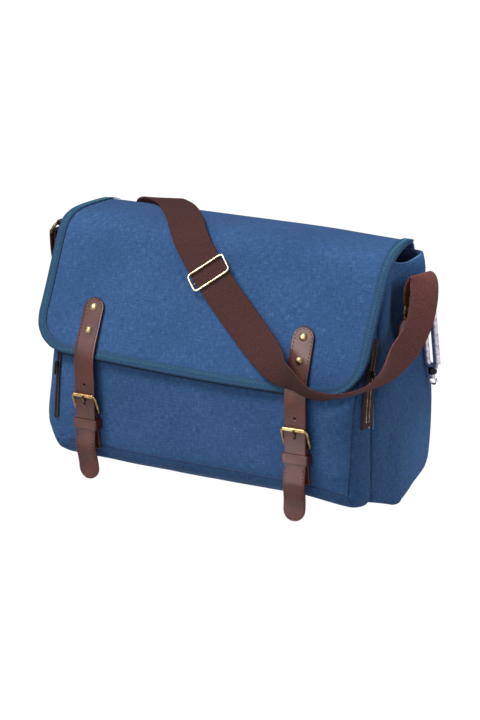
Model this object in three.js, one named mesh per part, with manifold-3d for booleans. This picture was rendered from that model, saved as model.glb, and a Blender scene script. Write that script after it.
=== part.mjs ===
// Canvas document bag: a soft hollow body with a boxed front pocket under a bound flap,
// two leather closure straps with brass buckles, and a webbing shoulder strap.
// Millimetres, +Z up. The front faces -Y, and +X is the right-hand end seen from the front.
// The origin is the middle of the flat part of the base, on the surface that the bag stands on.

import * as THREE from 'three';
import { mergeVertices } from 'three/addons/utils/BufferGeometryUtils.js';
import Module from 'manifold-3d';

const wasm = await Module();
wasm.setup();

// Driving dimensions

const FIT = 0.3;                  // clearance between pieces that touch
const CANVAS = 2.0;               // cloth wall of body, pocket and flap
const LEATHER = 2.4;              // straps and tabs
const SKEW = 0.05;                // the soft front stands further forward at its left end
const CROWN = 4;                  // how far the front swells forward in its middle

const BODY_CORNER = 8;            // radius of the upright corners
const BACK_CROWN = 2;             // how far the back panel swells
const BASE_CENTRE_Y = 11;         // middle of the flat part of the base
const BASE_FLAT = 0.45;           // share of the base that lies flat
const BASE_CORNER_SHARE = 4;      // how sharply the back edge of the base rises to its corners
const BACK_EDGE_SAG = 12;         // how much lower the back edge hangs between its corners

const BODY_ROWS = [
  { z: 0, halfWidth: 177, front: -53, back: 52, sideBulge: 5 },
  { z: 45, halfWidth: 182, front: -58, back: 70, sideBulge: 6 },
  { z: 85, halfWidth: 185, front: -60, back: 71, sideBulge: 4 },
  { z: 125, halfWidth: 185, front: -58, back: 65, sideBulge: 1 },
  { z: 165, halfWidth: 184, front: -51, back: 55, sideBulge: -3 },
  { z: 205, halfWidth: 182, front: -43, back: 48, sideBulge: -6 },
  { z: 258, halfWidth: 181, front: -32, back: 45, sideBulge: -4 },
];

// Lower and upper edge of the walls, by share of the depth from front to back
const WALL_EDGES = [
  { depth: 0, bottom: 17, rim: 240 },
  { depth: 0.25, bottom: 9, rim: 240 },
  { depth: 0.48, bottom: 3, rim: 239 },
  { depth: 0.78, bottom: 23, rim: 244 },
  { depth: 1, bottom: 45, rim: 250 },
];

// The left-hand end swells low down and turns in at its lower corner: height, distance outwards
const LEFT_SWELL = [
  { z: 0, out: -12 },
  { z: 20, out: -8.5 },
  { z: 31, out: 0 },
  { z: 42, out: 5.5 },
  { z: 56, out: 7.5 },
  { z: 74, out: 5.5 },
  { z: 92, out: 3 },
  { z: 112, out: 1 },
  { z: 135, out: 0 },
  { z: 260, out: 0 },
];
const LEFT_SWELL_FROM = { start: 135, full: 178 };

const POCKET = { halfWidth: 180, bottom: 19, top: 196, corner: 16, wall: 1.8, seat: 0.5 };
const POCKET_INSET = { left: 30, right: 7, top: 5, bottom: 20 };
const POCKET_SAG = 9;             // how far the pocket's bottom hangs at its right-hand end
const POCKET_ROUNDING = 1.8;      // how full the boxed strips are between rim and face
const POCKET_FACE = [
  { z: 10, y: -72 },
  { z: 40, y: -86.5 },
  { z: 65, y: -88 },
  { z: 95, y: -88 },
  { z: 125, y: -86 },
  { z: 160, y: -72.5 },
  { z: 200, y: -55 },
];

const FLAP_HALF_WIDTH = 187;
const FLAP_CORNER = { left: 38, right: 40 };
// How far the flap's right-hand edge is drawn in: on the front, more on the top, and at the back hem.
// The top's share fades out along the flap between two runs.
const FLAP_TRIM = { front: 1.5, top: 6, back: 13, fade: [70, 118], backReach: 100 };
const FLAP_RIGHT_DROP = 7;        // the top sags towards the right-hand end
const FLAP_LEFT_RISE = 6;         // the hem is drawn up at its left-hand end
const FLAP_PROFILE = [
  { y: 52.4, z: 226 },
  { y: 51.6, z: 244 },
  { y: 48, z: 257 },
  { y: 36, z: 263 },
  { y: 10, z: 264 },
  { y: -14, z: 263 },
  { y: -29, z: 259.5 },
  { y: -38, z: 252 },
  { y: -46, z: 235 },
  { y: -59.5, z: 203 },
  { y: -70.5, z: 177 },
  { y: -81, z: 152 },
  { y: -91, z: 127 },
];
const BINDING = { reach: 9, thick: 0.9, slack: 0.45, start: 26 };

const CLOSURE = { width: 23.5, tip: 20, hole: 4.2 };
// Each strap: its place, how far its tail swings out, and the height of its tip
const CLOSURES = {
  left: { x: -118, swing: 0.55, tip: 2.6 },
  right: { x: 121, swing: 1, tip: -0.6 },
};
// On the flap: height, lift of the leather's middle off the flap's middle, sideways lean
const CLOSURE_ON_FLAP = [
  { z: 188, lift: 2.9, lean: -4 },
  { z: 165, lift: 2.9, lean: -3.5 },
  { z: 145, lift: 4.2, lean: -2.5 },
  { z: 132, lift: 5, lean: -1.6 },
];
// Below the hem: height, distance ahead of the pocket's face, sideways lean
const CLOSURE_BELOW = [
  { z: 117, ahead: 10, lean: -0.6 },
  { z: 106, ahead: 9, lean: 0 },
  { z: 90, ahead: 8.8, lean: 0 },
  { z: 76, ahead: 8.6, lean: 0 },
];
// The tail, which hangs free: height, distance ahead, sideways lean
const CLOSURE_TAIL = [
  { z: 62, ahead: 8.2, lean: 0 },
  { z: 40, ahead: 12, lean: -0.5 },
  { z: 18, ahead: 18.5, lean: -1 },
];
const CLOSURE_TIP = { ahead: 26, lean: -2 };
const FLAP_RIVET = { heights: [179, 158], radius: 4, height: 2 };
const BUCKLE = {
  wire: 2.4, inside: 25, corner: 3.2, lowerBar: { z: 75, ahead: 3.9 }, upperBar: { z: 94, ahead: 12 },
};
const PRONG = { width: 2, thick: 1.5, holes: [84.6, 86.2, 87.8], tip: { z: 94, ahead: 15.8 } };
const EYE_LEATHER = 1.5;          // leather folded round a bar
const EYE_SIDES = 7;              // facets on half of a fold
const BUCKLE_TAB_ROWS = [
  { z: 37, ahead: 1.7 },
  { z: 50, ahead: 2 },
  { z: 60, ahead: 3.8 },
  { z: 68, ahead: 4.4 },
];
const KEEPER = { z: 59, height: 10, leather: 1.4, play: 0.7, shift: 0.4 };

const WEBBING = { width: 36, thick: 1.8, lift: 2.4 };
const SLIDER = { inside: 38.5, depth: 21, wire: 3, bar: 2.4, corner: 4.5, x: 2, z: 223, lift: 5.6, turn: -0.12 };
const RING = { inside: 38, spacing: 12, wire: 3.2, corner: 4 };
const TAB_WIDTH = 30;
const WIRE_CHAMFER = 0.28;        // share of a wire's thickness that its chamfers take
const INNER_CORNER = 0.35;        // inner radius of a bent frame's corner as a share of the outer
const SIDE_RIVET = { radius: 3.6, height: 1.8 };
// Each ring: its tab's bar, the way from that bar to the webbing's, and the rows of the tab,
// whose middle stands off the gusset at each height. The rivet is on the face away from the bag or,
// with -1, on the face that turns up.
const ANCHORS = {
  left: {
    side: -1, y: -12, bar: { x: -206, z: 246 }, lean: { x: -0.55, z: -0.835 }, rivet: { row: 4, face: -1 },
    rows: [
      { z: 204, off: 1.9 }, { z: 220, off: 2 }, { z: 235, off: 3 },
      { z: 246, off: 7.5 }, { z: 250.5, off: 15 },
    ],
  },
  right: {
    side: 1, y: 9, bar: { x: 191.5, z: 196 }, lean: { x: 0.2, z: 0.98 }, rivet: { row: 1, face: 1 },
    rows: [{ z: 157, off: 1.9 }, { z: 165, off: 1.9 }, { z: 176, off: 2.6 }, { z: 187, off: 6 }],
  },
};
const SNAP_HOOK = { length: 70, width: 14, bar: 3.6, thick: 3.4, edge: 0.8, lean: 0.38 };
const HOOK_SWIVEL = { radius: 2.4, length: 8 };
const HOOK_EYE = { radius: 4.6, bore: 2.6, thick: 2.2 };

const ZIP = { top: 180, thick: 1.2, seat: 0.55, margin: 0.06 };
// Each zip: its side, the rows of the strip that it lies between, its lower end and its slider's height
const ZIPS = {
  left: { side: -1, near: 2, far: 3, from: 62, slider: 120 },
  right: { side: 1, near: 0, far: 1, from: 98, slider: 150 },
};
const ZIP_PLATE = { width: 6.5, length: 9, corner: 2, thick: 2.6 };
const ZIP_PULL = { width: 4.6, length: 16, corner: 2, thick: 1.2, drop: 9, lift: 2.3 };

// Colours

const BLUE = '#3b5f94';
const TEAL = '#2c5873';
const BROWN = '#5b3833';
const WEB_BROWN = '#543632';
const BRASS = '#b8924e';
const NICKEL = '#d5d3da';
const canvas = (color) => new THREE.MeshStandardMaterial({ color, roughness: 0.95, metalness: 0 });
const hide = () => new THREE.MeshStandardMaterial({ color: BROWN, roughness: 0.5, metalness: 0 });
const metal = (color) => new THREE.MeshStandardMaterial({ color, roughness: 0.3, metalness: 1 });

const bag = new THREE.Group();

function add(name, geometry, material, parent = bag) {
  const mesh = new THREE.Mesh(geometry, material);
  mesh.name = name;
  parent.add(mesh);
  return mesh;
}

// Tables and curves

const lerp = THREE.MathUtils.lerp;
const clamp01 = (value) => THREE.MathUtils.clamp(value, 0, 1);
const smooth = THREE.MathUtils.smoothstep;
const steps = (count) => Array.from({ length: count + 1 }, (_, i) => i / count);
const vec = (x, y, z) => new THREE.Vector3(x, y, z);

// Reads a table of rows smoothly: every other column as a function of the key column
function smoothTable(rows, key) {
  const names = Object.keys(rows[0]).filter((name) => name !== key);
  const values = rows.flatMap((row) => names.map((name) => row[name]));
  const curve = new THREE.CubicInterpolant(rows.map((row) => row[key]), values, names.length);
  return (at) => {
    const result = curve.evaluate(at);
    return Object.fromEntries(names.map((name, i) => [name, result[i]]));
  };
}

const bodyRow = smoothTable(BODY_ROWS, 'z');
const wallEdges = smoothTable(WALL_EDGES, 'depth');
const pocketFaceRow = smoothTable(POCKET_FACE, 'z');
const leftSwell = smoothTable(LEFT_SWELL, 'z');
const swollen = (x, z) => x - leftSwell(z).out * smooth(-x, LEFT_SWELL_FROM.start, LEFT_SWELL_FROM.full);

// Closed solids

function closedSolid(points, triangles) {
  const volume = triangles.reduce((sum, [a, b, c]) => {
    return sum + points[a].dot(points[b].clone().cross(points[c]));
  }, 0);
  const outward = volume > 0 ? triangles : triangles.map(([a, b, c]) => [a, c, b]);
  const geometry = new THREE.BufferGeometry().setFromPoints(points);
  geometry.setIndex(outward.flat());
  geometry.computeVertexNormals();
  return geometry;
}

// Skins a row of rings of equal count. The cap's triangles close the first and the last ring,
// and without a cap each end closes in a fan about its middle.
function skin(rings, cap = null) {
  const count = rings[0].length;
  const points = rings.flat();
  const triangles = [];
  for (let r = 0; r + 1 < rings.length; r += 1) {
    for (let i = 0; i < count; i += 1) {
      const a = r * count + i;
      const b = r * count + ((i + 1) % count);
      triangles.push([a, b, b + count], [a, b + count, a + count]);
    }
  }
  const last = (rings.length - 1) * count;
  if (cap) {
    cap.forEach(([a, b, c]) => triangles.push([a, c, b], [last + a, last + b, last + c]));
    return closedSolid(points, triangles);
  }
  const middle = (ring) => ring.reduce((sum, p) => sum.add(p), vec(0, 0, 0)).divideScalar(count);
  const [start, end] = [points.length, points.length + 1];
  points.push(middle(rings[0]), middle(rings.at(-1)));
  for (let i = 0; i < count; i += 1) {
    const next = (i + 1) % count;
    triangles.push([start, next, i], [end, last + i, last + next]);
  }
  return closedSolid(points, triangles);
}

const flatCap = (outline) => THREE.ShapeUtils.triangulateShape(outline, []);

// Sweeps a section along frames of { at, across, up, widen }
function sweep(frames, section) {
  const rings = frames.map(({ at, across, up, widen = 1 }) => section.map((p) => {
    return at.clone().addScaledVector(across, p.x * widen).addScaledVector(up, p.y);
  }));
  return skin(rings, flatCap(section));
}

function flatSection(width, thick) {
  const [w, t] = [width / 2, thick / 2];
  return [[-w, -t], [w, -t], [w, t], [-w, t]].map(([x, y]) => new THREE.Vector2(x, y));
}

// A wall of even thickness over a grid of { at, up } frames
function sheet(grid, thick) {
  const columns = grid[0].length - 1;
  const side = ({ at, up }, way) => at.clone().addScaledVector(up, way * thick / 2);
  const rings = grid.map((row) => [
    ...row.map((frame) => side(frame, 1)),
    ...row.toReversed().map((frame) => side(frame, -1)),
  ]);
  const cap = [];
  for (let i = 0; i < columns; i += 1) {
    const under = 2 * columns + 1 - i;
    cap.push([i, i + 1, under - 1], [i, under - 1, under]);
  }
  return skin(rings, cap);
}

function toSolid(geometry) {
  const bare = geometry.clone();
  bare.deleteAttribute('normal');
  bare.deleteAttribute('uv');
  const { attributes, index } = mergeVertices(bare, 1e-4);
  return new wasm.Manifold(new wasm.Mesh({
    numProp: 3,
    vertProperties: attributes.position.array,
    triVerts: Uint32Array.from(index.array),
  }));
}

function toGeometry(solid) {
  const { vertProperties, triVerts } = solid.getMesh();
  const geometry = new THREE.BufferGeometry();
  geometry.setAttribute('position', new THREE.BufferAttribute(new Float32Array(vertProperties), 3));
  geometry.setIndex(new THREE.BufferAttribute(new Uint32Array(triVerts), 1));
  geometry.computeVertexNormals();
  return geometry;
}

const join = (...pieces) => toGeometry(pieces.map(toSolid).reduce((a, b) => a.add(b)));

function cut(piece, ...tools) {
  return toGeometry(tools.map(toSolid).reduce((left, tool) => left.subtract(tool), toSolid(piece)));
}

function roundedRectangle(width, height, radius, Kind = THREE.Shape) {
  const [x, y] = [width / 2, height / 2];
  const outline = new Kind();
  outline.absarc(x - radius, y - radius, radius, 0, Math.PI / 2);
  outline.absarc(radius - x, y - radius, radius, Math.PI / 2, Math.PI);
  outline.absarc(radius - x, radius - y, radius, Math.PI, 1.5 * Math.PI);
  outline.absarc(x - radius, radius - y, radius, 1.5 * Math.PI, 2 * Math.PI);
  return outline;
}

// A frame bent from wire: a rounded rectangle in its own XY plane, centred on the origin
function wireFrame(insideWidth, insideHeight, corner, wire) {
  const edge = wire * WIRE_CHAMFER;
  const grown = (by, radius, Kind) => {
    return roundedRectangle(insideWidth + 2 * by, insideHeight + 2 * by, radius, Kind);
  };
  const shape = grown(wire - edge, corner);
  shape.holes.push(grown(edge, corner * INNER_CORNER, THREE.Path));
  const extrusion = {
    depth: wire - 2 * edge, bevelThickness: edge, bevelSize: edge, bevelSegments: 1, curveSegments: 2,
  };
  const frame = new THREE.ExtrudeGeometry(shape, extrusion);
  return frame.translate(0, 0, edge - wire / 2);
}

// A flat plate of an outline, standing on the XY plane
function plate(outline, depth, curveSegments) {
  return new THREE.ExtrudeGeometry(outline, { depth, bevelEnabled: false, curveSegments });
}

function rod(from, to, radius, sides = 10) {
  const along = to.clone().sub(from);
  const piece = new THREE.CylinderGeometry(radius, radius, along.length(), sides);
  piece.applyQuaternion(new THREE.Quaternion().setFromUnitVectors(vec(0, 1, 0), along.normalize()));
  const middle = from.clone().lerp(to, 0.5);
  return piece.translate(middle.x, middle.y, middle.z);
}

// Domed rivet cap standing on the XY plane
function rivetCap(radius, height) {
  const rim = [[0, 0], [radius, 0], [radius, height * 0.3]];
  const dome = [30, 60].map((degrees) => {
    const turn = THREE.MathUtils.degToRad(degrees);
    return [radius * 0.92 * Math.cos(turn), height * (0.3 + 0.7 * Math.sin(turn))];
  });
  const profile = [...rim, ...dome, [0, height]].map(([x, y]) => new THREE.Vector2(x, y));
  return new THREE.LatheGeometry(profile, 10).rotateX(Math.PI / 2);
}

function placeRivet(name, at, out, { radius, height }, parent = bag) {
  const rivet = add(name, rivetCap(radius, height), metal(BRASS), parent);
  rivet.position.copy(at);
  rivet.quaternion.setFromUnitVectors(vec(0, 0, 1), out);
}

// Leather strip whose middle follows points in a plane, folded round a bar at its end.
// The outline is drawn in the plane and extruded across the strip's width.
function foldedTab(points, eye, barRadius, thick, width) {
  const line = new THREE.SplineCurve([...points, eye]).getSpacedPoints(10);
  const run = line.map((p, i) => {
    const along = line[Math.min(i + 1, line.length - 1)].clone().sub(line[Math.max(i - 1, 0)]).normalize();
    return { p, side: new THREE.Vector2(-along.y, along.x).multiplyScalar(thick / 2) };
  });
  const outline = [
    ...run.map(({ p, side }) => p.clone().add(side)),
    ...run.toReversed().map(({ p, side }) => p.clone().sub(side)),
  ];
  const circle = (radius) => new THREE.Shape().absarc(eye.x, eye.y, radius, 0, 2 * Math.PI);
  const disc = plate(circle(barRadius + FIT + EYE_LEATHER), width, EYE_SIDES);
  const bore = plate(circle(barRadius + FIT), 2 * width, EYE_SIDES).translate(0, 0, -width / 2);
  const strip = join(plate(new THREE.Shape(outline), width, 1), disc);
  return cut(strip, bore).translate(0, 0, -width / 2);
}

// Body: upright walls on a sagging base, open at the top

function bodyFront(x, z) {
  const { halfWidth, front } = bodyRow(z);
  return front - CROWN * (1 - (x / halfWidth) ** 2) + SKEW * x;
}

function bodySide(side, y, z) {
  const { halfWidth, front, back, sideBulge } = bodyRow(z);
  const along = THREE.MathUtils.clamp((2 * y - front - back) / (back - front), -1, 1);
  return side * (halfWidth + sideBulge * (1 - along ** 2));
}

// Spots round the body's plan: on a side, `along` runs from -1 to 1, and in a corner `turn` is its angle
const BODY_SPOTS = [
  { side: 'front', runs: 10 }, { corner: [1, -1], from: -90 },
  { side: 'right', runs: 6 }, { corner: [1, 1], from: 0 },
  { side: 'back', runs: 10 }, { corner: [-1, 1], from: 90 },
  { side: 'left', runs: 6 }, { corner: [-1, -1], from: 180 },
].flatMap(({ side, runs, corner, from }) => {
  if (side) {
    return steps(runs).map((share) => ({ side, along: 2 * share - 1 }));
  }
  return [{ corner, turn: THREE.MathUtils.degToRad(from + 45) }];
});

// Plan position of a spot at a height, and its share of the depth
function bodySpot({ side, along, corner, turn }, z, wall) {
  const row = bodyRow(z);
  const halfWidth = row.halfWidth - wall;
  const [front, back] = [row.front + wall, row.back - wall];
  const radius = BODY_CORNER - wall;
  const runX = halfWidth - radius;
  const runY = [front + radius, back - radius];
  const swell = 1 - along ** 2;
  let x;
  let y;
  if (side === 'front') {
    [x, y] = [along * runX, front - CROWN * swell];
  } else if (side === 'back') {
    [x, y] = [-along * runX, back + BACK_CROWN * swell];
  } else if (side) {
    const way = side === 'right' ? 1 : -1;
    x = way * (halfWidth + row.sideBulge * swell);
    y = lerp(...runY, (1 + way * along) / 2);
  } else {
    x = corner[0] * runX + radius * Math.cos(turn);
    y = runY[corner[1] < 0 ? 0 : 1] + radius * Math.sin(turn);
  }
  const depth = clamp01((y - front) / (back - front));
  return { x: swollen(x, z), y: y + SKEW * x * (1 - depth), depth };
}

function bodyEdge(spot) {
  const middle = bodySpot(spot, (BODY_ROWS[0].z + BODY_ROWS.at(-1).z) / 2, 0);
  const { bottom, rim } = wallEdges(middle.depth);
  const sag = spot.side === 'back' ? BACK_EDGE_SAG * (1 - Math.abs(spot.along) ** BASE_CORNER_SHARE) : 0;
  return { bottom: bottom - sag, rim };
}

function bodyShell() {
  const edges = BODY_SPOTS.map(bodyEdge);
  const wallRing = (share, wall) => BODY_SPOTS.map((spot, i) => {
    const z = lerp(edges[i].bottom + wall, edges[i].rim, share);
    const { x, y } = bodySpot(spot, z, wall);
    return vec(x, y, z);
  });
  const baseRing = (share, wall) => wallRing(0, wall).map(({ x, y, z }) => {
    const rise = Math.max(0, (share - BASE_FLAT) / (1 - BASE_FLAT));
    return vec(x * share, lerp(BASE_CENTRE_Y, y, share), lerp(wall, z, rise));
  });
  const baseShares = [BASE_FLAT / 2, BASE_FLAT, (1 + BASE_FLAT) / 2];
  const shares = steps(7);
  const outer = [...baseShares.map((s) => baseRing(s, 0)), ...shares.map((s) => wallRing(s, 0))];
  const inner = [...baseShares.map((s) => baseRing(s, CANVAS)), ...shares.map((s) => wallRing(s, CANVAS))];
  return skin([...outer, ...inner.toReversed()]);
}

add('body_shell', bodyShell(), canvas(BLUE));

// Front pocket: boxed strips round a swelling face, open towards the body

function pocketFace(x, z) {
  return pocketFaceRow(z).y - CROWN * (1 - (x / POCKET.halfWidth) ** 2) + SKEW * x;
}

// Spots round the pocket's outline, seen from the front: { x, z } on the rim and the way outwards
const POCKET_SPOTS = [
  { from: [-1, -1], to: [1, -1], out: [0, -1], runs: 8 }, { corner: [1, -1], start: -90 },
  { from: [1, -1], to: [1, 1], out: [1, 0], runs: 7 }, { corner: [1, 1], start: 0 },
  { from: [1, 1], to: [-1, 1], out: [0, 1], runs: 8 }, { corner: [-1, 1], start: 90 },
  { from: [-1, 1], to: [-1, -1], out: [-1, 0], runs: 7 }, { corner: [-1, -1], start: 180 },
].flatMap(({ from, to, out, runs, corner, start }) => {
  if (corner) {
    return [30, 60].map((degrees) => {
      const turn = THREE.MathUtils.degToRad(start + degrees);
      return { at: corner, out: [Math.cos(turn), Math.sin(turn)] };
    });
  }
  return steps(runs).map((share) => {
    const at = [lerp(from[0], to[0], share), lerp(from[1], to[1], share)];
    return { at, out };
  });
});

// Point of a boxed strip: share 0 on the body, share 1 at the face's edge
function pocketStrip({ at, out }, share, wall) {
  const { halfWidth, bottom, top, corner } = POCKET;
  const middle = (bottom + top) / 2;
  const x = at[0] * (halfWidth - corner) + out[0] * (corner - wall);
  const level = middle + at[1] * (middle - bottom - corner) + out[1] * (corner - wall);
  const depth = clamp01((top - level) / (top - bottom));
  const z = level - POCKET_SAG * smooth(x, halfWidth / 2, halfWidth) * depth ** 3;
  const insetX = out[0] < 0 ? POCKET_INSET.left : POCKET_INSET.right;
  const insetZ = out[1] < 0 ? POCKET_INSET.bottom : POCKET_INSET.top;
  const [edgeX, edgeZ] = [x - out[0] * insetX, z - out[1] * insetZ];
  const inset = share ** POCKET_ROUNDING;
  const forward = 1 - (1 - share) ** POCKET_ROUNDING;
  const rimY = bodyFront(x, z) - POCKET.seat;
  const edgeY = pocketFace(edgeX, edgeZ) + wall;
  const height = lerp(z, edgeZ, inset);
  return vec(swollen(lerp(x, edgeX, inset), height), lerp(rimY, edgeY, forward), height);
}

const STRIP_SHARES = [0, 0.33, 0.66, 1];

function frontPocket() {
  const stripRing = (share, wall) => POCKET_SPOTS.map((spot) => pocketStrip(spot, share, wall));
  const middleZ = (POCKET.bottom + POCKET.top) / 2;
  const faceRing = (share, wall) => stripRing(1, wall).map(({ x, z }) => {
    const [faceX, faceZ] = [x * share, lerp(middleZ, z, share)];
    return vec(faceX, pocketFace(faceX, faceZ) + wall, faceZ);
  });
  const faceShares = [0.9, 0.66, 0.36, 0.1];
  const walls = (wall) => [
    ...STRIP_SHARES.map((s) => stripRing(s, wall)),
    ...faceShares.map((s) => faceRing(s, wall)),
  ];
  return skin([...walls(0).toReversed(), ...walls(POCKET.wall)]);
}

add('front_pocket', frontPocket(), canvas(BLUE));

// Zips on the pocket's side strips, each with a slider and its pull

// Frame on a zip at a height, with its share of the way across the strip's middle band
function zipFrame({ side, near, far }, z, share) {
  const middle = (POCKET.bottom + POCKET.top) / 2;
  const reach = middle - POCKET.bottom - POCKET.corner;
  const spotAt = (height) => ({ at: [side, (height - middle) / reach], out: [side, 0] });
  const on = (height, row) => pocketStrip(spotAt(height), STRIP_SHARES[row], 0);
  const [inner, outer] = [on(z, near), on(z, far)];
  const up = outer.clone().sub(inner).cross(on(z + 1, near).sub(inner)).multiplyScalar(-side).normalize();
  return { at: inner.lerp(outer, share).addScaledVector(up, ZIP.seat + ZIP.thick / 2), up };
}

for (const [name, band] of Object.entries(ZIPS)) {
  const grid = steps(10).map((row) => steps(2).map((share) => {
    return zipFrame(band, lerp(band.from, ZIP.top, row), lerp(ZIP.margin, 1 - ZIP.margin, share));
  }));
  add(`zip_${name}`, sheet(grid, ZIP.thick), canvas(WEB_BROWN));
  const { at, up } = zipFrame(band, band.slider, 0.5);
  const tongue = ({ width, length, corner, thick }) => {
    return plate(roundedRectangle(width, length, corner), thick, 2);
  };
  const pull = tongue(ZIP_PULL).translate(0, -ZIP_PULL.drop, ZIP_PULL.lift);
  const slider = add(`zip_slider_${name}`, join(tongue(ZIP_PLATE), pull), metal(BRASS));
  slider.position.copy(at).addScaledVector(up, ZIP.thick / 2 + FIT);
  slider.quaternion.setFromRotationMatrix(new THREE.Matrix4().makeBasis(
    vec(0, 0, 1).cross(up).normalize(), vec(0, 0, 1).addScaledVector(up, -up.z).normalize(), up,
  ));
}

// Flap: one sheet along a profile from the back panel over the top and down the front

const flapPoints = FLAP_PROFILE.map(({ y, z }) => vec(0, y, z));
const flapCurve = new THREE.CatmullRomCurve3(flapPoints, false, 'centripetal');
const flapLength = flapCurve.getLength();

function flapMiddle(x, run) {
  const { y, z } = flapCurve.getPointAt(clamp01(run / flapLength));
  const forward = smooth(-y, -24, 40);
  const swell = CROWN * (1 - (x / FLAP_HALF_WIDTH) ** 2);
  const drop = FLAP_RIGHT_DROP * smooth(x, 60, FLAP_HALF_WIDTH) * smooth(-y, -80, 10) * smooth(z, 190, 250);
  const rise = FLAP_LEFT_RISE * smooth(-x, -60, FLAP_HALF_WIDTH) * smooth(-z, -190, -130);
  return vec(x, y + forward * (SKEW * x - swell), z - drop + rise);
}

// Frame on the flap's middle surface, with `up` pointing out of the bag
function flapFrame(x, run) {
  const reach = 0.5;
  const at = flapMiddle(x, run);
  const across = flapMiddle(x + reach, run).sub(flapMiddle(x - reach, run));
  const along = flapMiddle(x, Math.min(run + reach, flapLength)).sub(flapMiddle(x, Math.max(run - reach, 0)));
  return { at, up: along.cross(across).normalize() };
}

function flapHalfWidth(run, corner) {
  const inside = Math.max(0, corner - (flapLength - run));
  return FLAP_HALF_WIDTH - corner + Math.sqrt(corner ** 2 - inside ** 2);
}

// Distance along the flap at which its front comes down to a height
function flapRunAt(x, z) {
  let [low, high] = [flapLength * 0.4, flapLength];
  for (let i = 0; i < 30; i += 1) {
    const middle = (low + high) / 2;
    [low, high] = flapMiddle(x, middle).z > z ? [middle, high] : [low, middle];
  }
  return (low + high) / 2;
}

const FLAP_COLUMNS = 16;
const flapRuns = [
  ...steps(17).map((share) => share * (flapLength - FLAP_CORNER.right)),
  ...[22.5, 45, 67.5, 90].map((degrees) => {
    return flapLength - FLAP_CORNER.right * (1 - Math.sin(THREE.MathUtils.degToRad(degrees)));
  }),
];
const flapGrid = flapRuns.map((run) => steps(FLAP_COLUMNS).map((share) => {
  const { front, top, back, fade, backReach } = FLAP_TRIM;
  const trim = front + top * smooth(-run, -fade[1], -fade[0]) + back * smooth(-run, -backReach, 0);
  const x = lerp(-flapHalfWidth(run, FLAP_CORNER.left), flapHalfWidth(run, FLAP_CORNER.right) - trim, share);
  return flapFrame(x, run);
}));
add('flap', sheet(flapGrid, CANVAS), canvas(BLUE));

// Binding: tape folded round the flap's side edges and hem

function flapBinding() {
  const first = flapRuns.findIndex((run) => run > BINDING.start);
  const sides = flapGrid.slice(first);
  const edge = [
    ...sides.map((row) => row[0]),
    ...flapGrid.at(-1).slice(1, -1),
    ...sides.toReversed().map((row) => row.at(-1)),
  ];
  const frames = edge.map(({ at, up }, i) => {
    const [before, after] = [edge[Math.max(i - 1, 0)], edge[Math.min(i + 1, edge.length - 1)]];
    const along = after.at.clone().sub(before.at);
    return { at, up, across: up.clone().cross(along).normalize() };
  });
  const slot = CANVAS / 2 + BINDING.slack;
  const face = slot + BINDING.thick;
  const [reach, fold] = [BINDING.reach, -FIT - BINDING.thick];
  const outline = [
    [reach, face], [fold, face], [fold, -face], [reach, -face],
    [reach, -slot], [-FIT, -slot], [-FIT, slot], [reach, slot],
  ];
  return sweep(frames, outline.map(([x, y]) => new THREE.Vector2(x, y)));
}

add('flap_binding', flapBinding(), canvas(TEAL));

// Leather closures: strap, rivets, buckle with prong, tab and keeper, each in the plane of the front

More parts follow.
